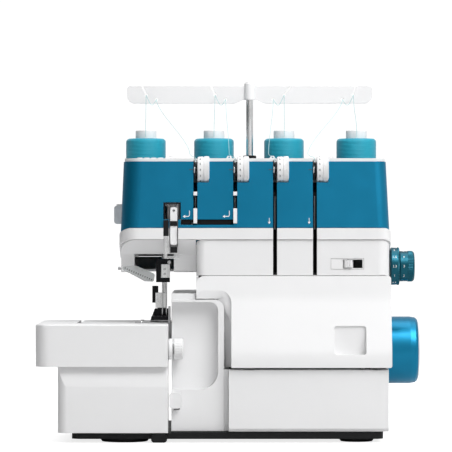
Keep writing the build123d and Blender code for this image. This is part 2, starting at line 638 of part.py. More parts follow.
def needle_bar():
    """Needle bar."""
    return disc_z(NEEDLE_X, NEEDLE_Y, NEEDLE_BAR_RADIUS, (176.0, 275.0))


CLAMP_X, CLAMP_Y, CLAMP_Z = (-76.0, -62.0), (-84.5, -71.0), (160.0, 184.0)


def needle_clamp():
    """Clamp block at the foot of the needle bar, with two set screws."""
    clamp = block(CLAMP_X, CLAMP_Y, CLAMP_Z) - disc_z(NEEDLE_X, NEEDLE_Y, NEEDLE_BAR_RADIUS, (176.0, 190.0))
    for x in NEEDLES_X:
        clamp -= disc_z(x, NEEDLE_Y, NEEDLE_RADIUS, (150.0, 172.0))
    face = outline((-70.8, 163.5), (-63.6, 163.5), (-63.6, 176.0), (-70.8, 176.0))
    clamp += along_y(face, (CLAMP_Y[0] - 1.0, CLAMP_Y[0]))
    for z in (167.0, 172.5):
        clamp += disc_y(-67.6, z, 1.7, (CLAMP_Y[0] - 2.6, CLAMP_Y[0] - 1.0))
    return clamp


NEEDLES_X, NEEDLE_RADIUS = (-69.6, -65.6), 0.6


def needles():
    """Two needles."""
    pair = []
    for x in NEEDLES_X:
        pair.append(turned_z(x, NEEDLE_Y, (0.1, 124.0), (NEEDLE_RADIUS, 130.0), (NEEDLE_RADIUS, 172.0)))
    return Compound(children=pair)


def presser_bar():
    """Presser bar with the ankle clamped to its foot."""
    return disc_z(NEEDLE_X, PRESSER_Y, PRESSER_BAR_RADIUS, (136.0, 262.0)) + presser_ankle()


def presser_ankle():
    """Ankle block clamped to the presser bar, with its release lever and screw."""
    lever_y = (-64.0, -59.0)
    ankle = block((-77.0, -66.0), (-67.5, -56.5), (133.5, 149.0))
    ankle += block((-80.4, -74.2), lever_y, (149.0, 156.0)) + block((-80.4, -77.0), lever_y, (138.6, 149.0))
    return ankle + disc_y(-73.4, 141.5, 2.0, (-69.5, -67.5))


def presser_foot():
    """Presser foot: a thin sole with a needle slot and a raised rear block under the ankle."""
    sole = along_y(outline((-81.5, 121.6), (-61.4, 121.6), (-62.3, 125.6), (-80.4, 125.6)), (-95.0, -48.0))
    sole -= block((-72.0, -63.8), (NEEDLE_Y - 4.0, NEEDLE_Y + 4.0), (120.0, 127.0))
    upper = along_y(outline((-80.4, 125.6), (-62.3, 125.6), (-63.8, 132.6), (-77.8, 132.6)), (-69.0, -52.0))
    return sole + upper + block((-75.0, -65.6), (-66.0, -58.0), (132.6, 133.5))


def presser_lever():
    """Presser lifter: an arm on the head frame's pin with a rod that comes out of the head's left side."""
    tip_y, tip_z, radius = -20.0, 173.4, 1.6
    length = math.hypot(LEVER_Y - tip_y, LEVER_Z - tip_z)
    tilt = math.degrees(math.atan2(LEVER_Z - tip_z, LEVER_Y - tip_y))
    bar = Pos((LEVER_Y + tip_y) / 2, (LEVER_Z + tip_z) / 2) * Rot(0, 0, tilt) * Rectangle(length, 6.0)
    face = bar + Pos(LEVER_Y, LEVER_Z) * Circle(4.5) + Pos(tip_y, tip_z) * Circle(3.0)
    lever = along_x(face, (-104.0, -100.5)) + disc_x(tip_y, tip_z, radius, (-117.2, -103.0))
    return lever - disc_x(LEVER_Y, LEVER_Z, 2.0 + RUNNING_FIT, (-110, -98))


# ---- bed, knives, loopers and feed --------------------------------------------------------------------
ARM_BED_X, ARM_BED_Y, ARM_BED_Z = (-152.0, -60.0), (-108.0, -8.0), (82.0, 119.0)
PLATE_X, PLATE_Y = (-97.0, -64.4), (-104.0, -46.0)
FEED_X = ((-82.0, -79.4), (-77.0, -74.4))
KNIFE_X, KNIFE_Y = (-63.2, -60.9), (-103.5, -96.5)


def free_arm():
    """Hollow free arm that carries the needle plate, open to the looper bay."""
    corner = 10.0
    face = outline(
        (ARM_BED_X[0], ARM_BED_Y[0], corner), (ARM_BED_X[1], ARM_BED_Y[0]), (ARM_BED_X[1], ARM_BED_Y[1]),
        (ARM_BED_X[0], ARM_BED_Y[1], corner),
    )
    arm = along_z(face, ARM_BED_Z)
    arm -= along_z(offset(face, -WALL), (ARM_BED_Z[0] + WALL, ARM_BED_Z[1] - WALL))
    arm -= block((ARM_BED_X[1] - 5, ARM_BED_X[1] + 1), NEEDLE_SLOT_Y, (96.0, 121.0))
    seat = block((PLATE_X[0] - 0.3, ARM_BED_X[1] + 1), (PLATE_Y[0] - 0.3, PLATE_Y[1] + 0.3), (112.0, 121.0))
    return arm - seat


def needle_plate():
    """Steel needle plate with feed slots, needle holes and the fixed knife."""
    plate = block(PLATE_X, PLATE_Y, (PLATE_TOP - 2.5, PLATE_TOP))
    for x in FEED_X:
        plate -= block((x[0] - 0.5, x[1] + 0.5), (-88.0, -55.0), (110.0, 121.0))
    plate -= block((NEEDLES_X[0] - 1.4, PLATE_X[1] + 1), (NEEDLE_Y - 1.6, NEEDLE_Y + 1.6), (110.0, 121.0))
    return plate + lower_knife()


def feed_dogs():
    """Two toothed feed dogs on a common bar."""
    dogs = block((FEED_X[0][0], FEED_X[1][1]), (-82.0, -66.0), (104.0, 110.0))
    tooth, step, count, foot, tip = 1.6, 1.85, 9, 118.8, 119.9
    for x in FEED_X:
        dogs += block(x, (-82.0, -65.0), (110.0, foot))
        for index in range(count):
            y = -82.0 + index * step
            face = make_face(Polyline((y, foot), (y + tooth, foot), (y + tooth, tip), close=True))
            dogs += along_x(face, x)
    return dogs


def lower_knife():
    """Fixed lower knife at the right edge of the needle plate, on a bracket under it."""
    bracket = block((-70.0, -63.5), (-103.0, -96.0), (104.0, PLATE_TOP - 2.5))
    return bracket + block((-64.4, -63.5), (-103.0, -92.0), (104.0, PLATE_TOP - 0.2))


def upper_knife():
    """Moving upper knife with its carrier, which reaches into the looper bay."""
    blade = block(KNIFE_X, KNIFE_Y, (105.0, 136.0))
    blade += block((KNIFE_X[0], -40.0), (-103.5, -99.5), (105.0, 109.0))
    return blade + block((-44.0, -40.0), (-103.5, -94.5), (92.0, 109.0))


LOOPER_PINS = ((-22.0, 72.0), (-8.0, 84.0))  # pivots of the lower and the upper looper, in X and Z
LOOPER_Y = ((-82.0, -78.0), (-92.0, -88.0))


def looper_shafts():
    """Two pins on the bulkhead that the loopers turn on."""
    pins = Part()
    for (x, z), y in zip(LOOPER_PINS, LOOPER_Y):
        pins += disc_y(x, z, 3.0, (y[0] - 3.0, -62.0))
    return pins


def looper(index, tip_x, tip_z):
    """A curved looper: a hub on its pin, a tapered arm and a pointed tip."""
    (x, z), y = LOOPER_PINS[index], LOOPER_Y[index]
    arm = outline(
        (x - 4, z - 2), (x + 4, z - 2), (x - 2, tip_z - 4, 6.0), (tip_x, tip_z, 0.4), (x - 9, tip_z - 8, 5.0),
    )
    shape = along_y(arm + Pos(x, z) * Circle(6.5), y)
    return shape - disc_y(x, z, 3.0 + RUNNING_FIT, (y[0] - 1, y[1] + 1))


# ---- motor and drive ----------------------------------------------------------------------------------
MOTOR_Y, MOTOR_Z, MOTOR_RADIUS = 14.0, 46.0, 27.0
BELT_X = (138.0, 144.0)
SHAFT_PULLEY, MOTOR_PULLEY = 24.0, 8.0  # radii where the belt runs
SHAFT_END = 188.0


def motor():
    """Motor can on two saddles, bored for its shaft."""
    can = disc_x(MOTOR_Y, MOTOR_Z, MOTOR_RADIUS, (66.0, 124.0))
    can += disc_x(MOTOR_Y, MOTOR_Z, 9.0, (124.0, 128.0))
    for x in (72.0, 108.0):
        can += block((x, x + 10), (MOTOR_Y - 20, MOTOR_Y + 20), (FLOOR_Z + 4.0, 30.0))
    return can - disc_x(MOTOR_Y, MOTOR_Z, 3.0 + RUNNING_FIT, (100.0, 130.0))


def motor_pulley():
    """Motor shaft with its small belt pulley."""
    (left, right), rim, shaft = BELT_X, MOTOR_PULLEY + 2.5, 3.0
    return turned_x(
        MOTOR_Y, MOTOR_Z, (101.0, shaft), (left - 2, shaft), (left - 2, rim), (left - 0.6, rim),
        (left - 0.6, MOTOR_PULLEY), (right + 0.6, MOTOR_PULLEY), (right + 0.6, rim), (right + 2, rim),
    )


def main_shaft():
    """Main shaft in the frame's bearing walls, with the large belt pulley."""
    (left, right), rim = BELT_X, SHAFT_PULLEY + 2.5
    return turned_x(
        SHAFT_Y, SHAFT_Z, (-50.0, SHAFT_RADIUS), (left - 2, SHAFT_RADIUS), (left - 2, rim),
        (left - 0.6, rim), (left - 0.6, SHAFT_PULLEY), (right + 0.6, SHAFT_PULLEY),
        (right + 0.6, SHAFT_RADIUS), (SHAFT_END, SHAFT_RADIUS),
    )


def belt_outline(grow):
    """Flat outline around both pulleys, grown outward."""
    run = (MOTOR_Y - SHAFT_Y, MOTOR_Z - SHAFT_Z)
    length = math.hypot(*run)
    lean = math.atan2(run[1], run[0])
    spread = math.acos((SHAFT_PULLEY - MOTOR_PULLEY) / length)
    pulleys = (
        (SHAFT_Y, SHAFT_Z, SHAFT_PULLEY, (1, -1)),
        (MOTOR_Y, MOTOR_Z, MOTOR_PULLEY, (-1, 1)),
    )
    corners, rims = [], []
    for y, z, radius, signs in pulleys:
        rims.append(Pos(y, z) * Circle(radius + grow))
        for sign in signs:
            angle = lean + sign * spread
            reach = radius + grow
            corners.append((y + reach * math.cos(angle), z + reach * math.sin(angle)))
    return make_face(Polyline(*corners, close=True)) + rims[0] + rims[1]


def drive_belt():
    """Belt between the two pulleys."""
    return along_x(belt_outline(1.9) - belt_outline(0.4), BELT_X)


def handwheel():
    """Handwheel: a smooth cup with a hub bored for the main shaft and a seat for its cap."""
    left, right = WHEEL_X
    wheel = turned_x(
        SHAFT_Y, SHAFT_Z, (left, WHEEL_RADIUS - 1.2), (left + 1.0, WHEEL_RADIUS),
        (right - 8.0, WHEEL_RADIUS), (right - 2.5, WHEEL_RADIUS - 0.9), (right - 0.6, WHEEL_RADIUS - 2.4),
        (right, WHEEL_RADIUS - 3.5),
    )
    cup = disc_x(SHAFT_Y, SHAFT_Z, WHEEL_RADIUS - 4, (left - 1, right - 9))
    wheel -= cup - disc_x(SHAFT_Y, SHAFT_Z, 10.0, (left - 1, right))
    wheel -= disc_x(SHAFT_Y, SHAFT_Z, CAP_RADIUS, (CAP_SEAT, right + 1))
    return wheel - disc_x(SHAFT_Y, SHAFT_Z, SHAFT_RADIUS, (left - 1, SHAFT_END))


CAP_RADIUS, CAP_SEAT = 30.4, 191.0


def handwheel_cap():
    """Slightly domed cap on the end of the handwheel."""
    return turned_x(
        SHAFT_Y, SHAFT_Z, (CAP_SEAT, CAP_RADIUS), (CAP_SEAT + 2.2, CAP_RADIUS),
        (CAP_SEAT + 3.2, CAP_RADIUS - 2.5), (CAP_SEAT + 4.1, 20.0), (CAP_RIGHT - 0.15, 10.0),
        (CAP_RIGHT, 4.0),
    )


SIDE_AXLE = 4.0


def side_dial_axle():
    """Axle of the two feed dials, with a plate inside the casing."""
    axle = disc_x(SIDE_DIAL_Y, SIDE_DIAL_Z, SIDE_AXLE - 0.01, (152.0, STITCH_DIAL[1] - 4.0))
    return axle + block((150.0, 152.0), (-104.0, -62.0), (SIDE_DIAL_Z - 6, SIDE_DIAL_Z + 6))


def differential_feed_dial():
    """Differential feed ring next to the casing."""
    left, right, radius = FEED_RING
    ring = turned_x(
        SIDE_DIAL_Y, SIDE_DIAL_Z, (left, radius - 2.0), (left + 1.5, radius), (right - 1.2, radius - 0.3),
        (right, radius - 1.6),
    )
    return ring - disc_x(SIDE_DIAL_Y, SIDE_DIAL_Z, SIDE_AXLE + RUNNING_FIT, (left - 1, right + 1))


def stitch_length_dial():
    """Stitch length dial at the end of the same axle, closed at its end."""
    left, right, radius = STITCH_DIAL
    dial = turned_x(
        SIDE_DIAL_Y, SIDE_DIAL_Z, (left, radius - 0.6), (left + 0.8, radius), (right - 1.5, radius - 0.3),
        (right - 0.4, radius - 1.2), (right, radius - 2.4),
    )
    return dial - disc_x(SIDE_DIAL_Y, SIDE_DIAL_Z, SIDE_AXLE + RUNNING_FIT, (left - 1, right - 3.5))


# ---- controls -----------------------------------------------------------------------------------------
KNOB_X, KNOB_Y, KNOB_Z, KNOB_RADIUS = (-62.2, -47.6), -138.5, 94.0, 10.5
NECK_X, NECK_RADIUS = (-58.1, -56.3), 3.0


def cutting_width_knob():
    """Cutting width knob with a neck that runs in its bracket and a ribbed right half."""
    knob = turned_x(
        KNOB_Y, KNOB_Z, (KNOB_X[0], KNOB_RADIUS - 1.0), (KNOB_X[0] + 1, KNOB_RADIUS),
        (NECK_X[0], KNOB_RADIUS), (NECK_X[0], NECK_RADIUS), (NECK_X[1], NECK_RADIUS),
        (NECK_X[1], KNOB_RADIUS), (KNOB_X[1] - 1, KNOB_RADIUS), (KNOB_X[1], KNOB_RADIUS - 1.0),
    )
    ribs = 24
    for index in range(ribs):
        turn = 360.0 / ribs * index
        y = KNOB_Y + (KNOB_RADIUS + 0.25) * math.cos(math.radians(turn))
        z = KNOB_Z + (KNOB_RADIUS + 0.25) * math.sin(math.radians(turn))
        knob -= disc_x(y, z, 0.6, (NECK_X[1] + 1, KNOB_X[1] + 1))
    return knob


def knob_bracket():
    """Thin plate from the floor of the scoop to the neck of the cutting width knob."""
    plate_x, floor_y = (NECK_X[0] + 0.3, NECK_X[1] - 0.3), LEFT_PANEL_FRONT + SCOOP_DEPTH
    plate = block(plate_x, (KNOB_Y, floor_y), (KNOB_Z - 5, KNOB_Z + 5))
    plate += disc_x(KNOB_Y, KNOB_Z, 5.0, plate_x)
    return plate - disc_x(KNOB_Y, KNOB_Z, NECK_RADIUS + RUNNING_FIT, (-70, -40))


def threading_lever():
    """Small push-down lever for threading, with a stem through the left panel."""
    face = outline((-61.5, 34.5, 3.0), (-49.5, 34.5, 3.0), (-49.5, 50.5, 3.0), (-61.5, 50.5, 3.0))
    lever = along_y(face, (-145.0, LEFT_PANEL_FRONT - 0.5))
    lever += block((-56.0, -52.0), (LEFT_PANEL_FRONT - 0.5, -128.0), (42.0, 48.0))
    return lever + block((-56.0, -50.5), (-132.0, -128.0), (41.0, 49.0))


def slider_switch():
    """Sliding switch on the column, a ridged thumb piece on a plate behind the wall."""
    left, low, high = SWITCH_SLOT_X[0] + 1.2, SWITCH_SLOT_Z[0] + CLEAR, SWITCH_SLOT_Z[1] - CLEAR
    thumb = block((left, left + SLIDER_WIDTH), (ARM_Y[0] - 1.6, ARM_Y[0] + WALL + 0.8), (low, high))
    for index in range(3):
        ridge = left + 1.6 + 1.9 * index
        thumb += block((ridge, ridge + 0.8), (ARM_Y[0] - 2.2, ARM_Y[0] - 1.6), (low, high))
    plate_y = (ARM_Y[0] + WALL + 0.8, ARM_Y[0] + WALL + 2.3)
    return thumb + block((left - 1.0, left + SLIDER_WIDTH + 1.0), plate_y, (low - 3.0, high + 3.0))


ROCKER_Y, ROCKER_X = 23.0, 155.5
SOCKET_BACK = 147.0  # back of the switch and the inlet


def switch_bezel():
    """Frame of the power switch in the right wall, with its pivot pin."""
    frame = block((SOCKET_BACK, 160.0), inward(SWITCH_Y, 0.2), inward(SWITCH_Z, 0.2))
    frame -= block((SOCKET_BACK + 1.5, 161.0), inward(SWITCH_Y, 1.8), inward(SWITCH_Z, 1.8))
    return frame + disc_z(ROCKER_X, ROCKER_Y, 1.0, (SWITCH_Z[0] + 1, SWITCH_Z[1] - 1))


def power_switch():
    """Rocker of the power switch."""
    z = (SWITCH_Z[0] + 2.3, SWITCH_Z[1] - 2.3)
    face = outline((153.5, 14.8), (160.2, 14.8, 1.0), (158.8, ROCKER_Y), (160.2, 31.2, 1.0), (153.5, 31.2))
    return along_z(face, z) - disc_z(ROCKER_X, ROCKER_Y, 1.0 + RUNNING_FIT, (40.0, 70.0))


def mains_inlet():
    """Recessed mains inlet with two pins."""
    inlet = block((SOCKET_BACK, 159.6), inward(INLET_Y, 0.2), inward(INLET_Z, 0.2))
    inlet -= block((SOCKET_BACK + 2.5, 161.0), inward(INLET_Y, 3.0), inward(INLET_Z, 3.5))
    for y in (18.5, 27.5):
        inlet += disc_x(y, 31.0, 1.2, (SOCKET_BACK + 2.5, 157.0))
    joint = block((SOCKET_BACK, 150.0), (14.0, 32.0), (INLET_Z[1] - 0.2, SWITCH_Z[0] + 0.2))
    return inlet + joint + switch_bezel()


def air_pump():
    """Air pump for threading the loopers, with its outlet tube."""
    pump = block((8.0, 50.0), (-20.0, 30.0), (FLOOR_Z + 4.0, 62.0))
    pump += disc_x(5.0, 40.0, 14.0, (-2.0, 8.0))
    return pump + disc_z(20.0, -10.0, 3.0, (62.0, 110.0))


# ---- extension table ----------------------------------------------------------------------------------
TABLE_RIGHT, TABLE_FOOT, TABLE_TOP = -62.65, 76.5, PLATE_TOP - 1.0
TABLE_LEG = -112.0  # back of the front leg
TABLE_SIDE = -156.0  # right face of the left leg
TABLE_BACK = -6.0
LOWER_TABLE_LEFT, LOWER_TABLE_FOOT = -173.5, PLATFORM_TOP + 0.5


def extension_table():
    """Hollow L shaped table around the free arm, on a narrower lower part that curves in under it."""
    def plan_view(left, front, back, front_corner, back_corner):
        """The L shape seen from above."""
        return outline(
            (left, front, front_corner), (TABLE_RIGHT, front), (TABLE_RIGHT, TABLE_LEG),
            (TABLE_SIDE, TABLE_LEG, 6.0), (TABLE_SIDE, back), (left, back, back_corner),
        )

    upper_face = plan_view(TABLE_LEFT, FRONT, TABLE_BACK, 14.0, 14.0)
    lower_face = plan_view(LOWER_TABLE_LEFT, FRONT + 2.0, TABLE_BACK - 4.0, 10.0, 8.0)
    upper = along_z(upper_face, (TABLE_FOOT, TABLE_TOP))
    top_edges = upper.faces().sort_by(Axis.Z)[-1].outer_wire().edges()
    upper = chamfer(top_edges.filter_by(is_outer_edge), 1.2)
    lower = along_z(lower_face, (LOWER_TABLE_FOOT, TABLE_FOOT)) & table_side_profile(0)
    hollow = along_z(offset(upper_face, -WALL), (TABLE_FOOT + WALL, TABLE_TOP - WALL))
    lower_hollow = along_z(offset(lower_face, -WALL), (LOWER_TABLE_FOOT - 1, TABLE_FOOT + WALL))
    return upper + lower - hollow - (lower_hollow & table_side_profile(WALL))


def is_outer_edge(edge):
    """Whether a top edge of the table lies on its front or its left side."""
    middle = edge.center()
    return (middle.X < TABLE_RIGHT and middle.Y < FRONT + 10) or middle.X < TABLE_LEFT + 6


def table_side_profile(inset):
    """The lower table's curved front seen from the side, moved back by inset, run on above and below."""
    front, knee_z, reach = FRONT + inset, 62.0, 4.0
    profile = outline(
        (front, LOWER_TABLE_FOOT - reach), (front + 2.0, knee_z, 50.0), (front + 9.0, TABLE_FOOT),
        (front + 9.0, TABLE_FOOT + reach), (0.0, TABLE_FOOT + reach), (0.0, LOWER_TABLE_FOOT - reach),
    )
    return along_x(profile, (-200, -60))


# ---- thread stand and spools --------------------------------------------------------------------------
TRAY_X, TRAY_Y = (-122.0, 168.0), (62.5, REAR)


def spool_tray():
    """Tray behind the casing that carries the spools, with two brackets and a collar for the stand."""
    face = plan(TRAY_X, TRAY_Y, 6.0, 6.0, 22.0)
    rim_z = TRAY_Z[1] + 3.0
    tray = along_z(face, (TRAY_Z[0], rim_z)) - along_z(offset(face, -2.0), (TRAY_Z[1] - 3.0, rim_z + 1))
    bracket_foot, bracket_reach, thick = 190.0, 45.0, 6.0
    web = make_face(Polyline(
        (TRAY_Y[0], TRAY_Z[0]), (TRAY_Y[0], bracket_foot), (TRAY_Y[0] + bracket_reach, TRAY_Z[0]), close=True,
    ))
    for x in (-80.0, 110.0):
        tray += along_x(web, (x, x + thick))
    tray += disc_z(STAND_X, STAND_Y, TUBE_RADIUS + 3.0, (TRAY_Z[0] - 12, TRAY_Z[1] + 4))
    tray -= disc_z(STAND_X, STAND_Y, TUBE_RADIUS, (150, 300))
    return tray + spool_pins()


PIN_RADIUS = 3.0


def spool_pins():
    """Four spool pins with their discs."""
    pins, foot, disc_radius, top = Part(), TRAY_Z[1] - 3.0, 19.0, 300.0
    for x in SPOOL_X:
        pins += turned_z(
            x, SPOOL_Y, (disc_radius, foot), (disc_radius, foot + 2.0), (PIN_RADIUS, foot + 2.1),
            (PIN_RADIUS, top),
        )
    return pins


def spool_cores():
    """Four thread tubes standing on the pins' discs."""
    foot, cores = TRAY_Z[1] - 0.7, []
    for x in SPOOL_X:
        core = turned_z(
            x, SPOOL_Y, (CORE_RADIUS + 2.0, foot), (CORE_RADIUS, foot + 4.0), (CORE_RADIUS, CORE_TOP - 0.8),
            (CORE_RADIUS - 0.6, CORE_TOP),
        )
        cores.append(core - disc_z(x, SPOOL_Y, CORE_BORE, (200, 400)))
    return Compound(children=cores)


def thread_windings():
    """Thread wound on the four tubes, rounded at both ends."""
    windings, low, shoulder = [], 246.0, WINDING_RADIUS - 1.5
    for x in SPOOL_X:
        ring = turned_z(
            x, SPOOL_Y, (CORE_RADIUS + 4.0, low), (shoulder, low + 1.5), (WINDING_RADIUS, low + 4.5),
            (WINDING_RADIUS, SPOOL_TOP - 4.5), (shoulder, SPOOL_TOP - 1.5), (CORE_RADIUS + 4.0, SPOOL_TOP),
        )
        windings.append(ring - disc_z(x, SPOOL_Y, CORE_RADIUS, (200, 400)))
    return Compound(children=windings)


def stand_outer_tube():
    """Fixed tube of the telescopic stand, with a collar at the top."""
    foot, collar_foot, top = 150.0, 289.0, 293.5
    tube = disc_z(STAND_X, STAND_Y, TUBE_RADIUS, (foot, collar_foot))
    tube += disc_z(STAND_X, STAND_Y, TUBE_RADIUS + 1.5, (collar_foot, top))
    return tube - disc_z(STAND_X, STAND_Y, POLE_RADIUS + RUNNING_FIT, (foot + 2.0, top + 1))


def stand_tube():
    """Sliding pole of the stand."""
    return disc_z(STAND_X, STAND_Y, POLE_RADIUS, (185.0, 356.0))


GUIDE_HALF = 1.25
HOOK_X = (-90.8, -16.4, 58.2, 132.9)  # foot of the open slot at each station
EYE_X = (-79.6, -4.9, 46.5, 121.0)  # round eye at each station
SLOT_LEAN = (-4.5, -4.5, 8.0, 2.5)  # how far the top of each open slot lies to the side
EYE_Z, HOOK_Z, EYE_RADIUS = 354.1, 359.0, 1.8


def thread_guide():
    """Thread guide bar: a thin upright plate with a hub, four open slots and four eyes."""
    x, z = GUIDE_X, GUIDE_Z
    hub_low, hub_radius, half = 353.9, 5.8, 0.9
    face = outline(
        (x[0], z[0], 8.0), (STAND_X - 16, z[0], 10.0), (STAND_X - 5, z[0] + 5, 3.0),
        (STAND_X + 5, z[0] + 5, 3.0), (STAND_X + 16, z[0], 10.0), (x[1], z[0], 8.0), (x[1], z[1], 3.0),
        (x[0], z[1], 3.0),
    )
    bar = along_y(face, (STAND_Y - GUIDE_HALF, STAND_Y + GUIDE_HALF))
    for hook, eye, lean in zip(HOOK_X, EYE_X, SLOT_LEAN):
        top, high = hook + lean, z[1] + 1
        cut = outline((hook - half, HOOK_Z), (hook + half, HOOK_Z), (top + half, high), (top - half, high))
        cut += Pos(hook, HOOK_Z) * Circle(EYE_RADIUS)
        bar -= along_y(cut + Pos(eye, EYE_Z) * Circle(EYE_RADIUS), (STAND_Y - 5, STAND_Y + 5))
    bar += turned_z(
        STAND_X, STAND_Y, (hub_radius, hub_low), (hub_radius, TOP - 2.0), (hub_radius - 1.2, TOP - 0.5),
        (3.0, TOP),
    )
    return bar - disc_z(STAND_X, STAND_Y, POLE_RADIUS, (300.0, 356.0))


THREAD_RADIUS = 0.4


def straight_thread(start, end):
    """A taut stretch of thread between two points."""
    line = Line(start, end)
    return sweep(Plane(origin=start, z_dir=line % 0) * Circle(THREAD_RADIUS), path=line)


def spool_threads():
    """Thread from each spool up to its open slot in the guide."""
    lines = []
    for x, hook in zip(SPOOL_X, HOOK_X):
        start = (x, SPOOL_Y - CORE_RADIUS - 2.0, SPOOL_TOP + 1.5)
        lines.append(straight_thread(start, (hook, STAND_Y - 2.4, HOOK_Z)))
    return Compound(children=lines)


def needle_threads():
    """Thread from each eye of the guide down to its slot in the deck."""
    lines = []
    for eye, guide in zip(EYE_X, DECK_GUIDE_X):
        lines.append(straight_thread((eye, STAND_Y - 2.4, EYE_Z), (guide, -80.5, DECK_TOP + 4.5)))
    return Compound(children=lines)


# ---- build --------------------------------------------------------------------------------------------
SINGLE_PARTS = (
    base_plate, rubber_feet, main_frame, lower_casing, lower_front_panel, left_front_panel, front_cover,
    hinge_rod, middle_casing, head_casing, trim_band, tension_cover, top_deck, tension_frame, tension_discs,
    slot_channels, take_up_window, take_up_lever, needle_guard, thread_cutter, head_frame, needle_bar,
    needle_clamp, needles, presser_bar, presser_foot, presser_lever, free_arm, needle_plate, feed_dogs,
    upper_knife, motor, motor_pulley, main_shaft, drive_belt, handwheel, handwheel_cap,
    differential_feed_dial, stitch_length_dial, cutting_width_knob, threading_lever, slider_switch,
    power_switch, mains_inlet, air_pump, extension_table, spool_tray, spool_cores, thread_windings,
    stand_outer_tube, stand_tube, thread_guide, spool_threads, needle_threads,
)

for make in SINGLE_PARTS:
    add(make.__name__, make())
for number, middle in enumerate(SLOT_X, start=1):
    add(f"tension_dial_{number}", tension_dial(middle))
add("lower_looper", looper(0, -58.0, 108.0))
add("upper_looper", looper(1, -46.0, 112.0))

os.makedirs("parts", exist_ok=True)
for name, shape in parts.items():
    export_step(shape, f"parts/{name}.step")
print(len(parts), "parts")
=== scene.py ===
"""Looks of the serger overlock machine: materials, fine pieces, studio and camera, in metres.

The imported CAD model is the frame. Every piece takes its place from a CAD node's box.
"""

import json
import math

import bmesh
import bpy
from mathutils import Matrix, Vector


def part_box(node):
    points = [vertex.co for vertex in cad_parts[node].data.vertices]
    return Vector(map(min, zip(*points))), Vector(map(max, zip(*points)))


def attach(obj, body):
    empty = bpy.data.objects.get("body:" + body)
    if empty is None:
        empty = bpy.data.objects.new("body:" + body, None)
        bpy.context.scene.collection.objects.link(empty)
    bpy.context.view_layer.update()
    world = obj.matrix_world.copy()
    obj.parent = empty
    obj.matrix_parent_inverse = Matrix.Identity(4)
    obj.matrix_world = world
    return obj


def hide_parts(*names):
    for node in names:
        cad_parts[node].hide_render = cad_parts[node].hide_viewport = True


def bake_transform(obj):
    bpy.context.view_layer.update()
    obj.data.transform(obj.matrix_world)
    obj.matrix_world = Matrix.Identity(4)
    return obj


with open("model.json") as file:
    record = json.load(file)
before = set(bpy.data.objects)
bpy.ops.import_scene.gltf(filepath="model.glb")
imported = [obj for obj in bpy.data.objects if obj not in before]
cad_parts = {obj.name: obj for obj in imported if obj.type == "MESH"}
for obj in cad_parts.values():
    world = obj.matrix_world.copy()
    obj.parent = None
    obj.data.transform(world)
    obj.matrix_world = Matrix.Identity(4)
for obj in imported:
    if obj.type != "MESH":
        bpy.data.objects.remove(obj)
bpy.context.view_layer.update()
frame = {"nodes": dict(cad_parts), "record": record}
NODES = frame["nodes"]
MM = 0.001
INK_DEPTH, INK_LIFT = 0.04 * MM, 0.03 * MM  # thickness of a printed figure, and its gap from the surface


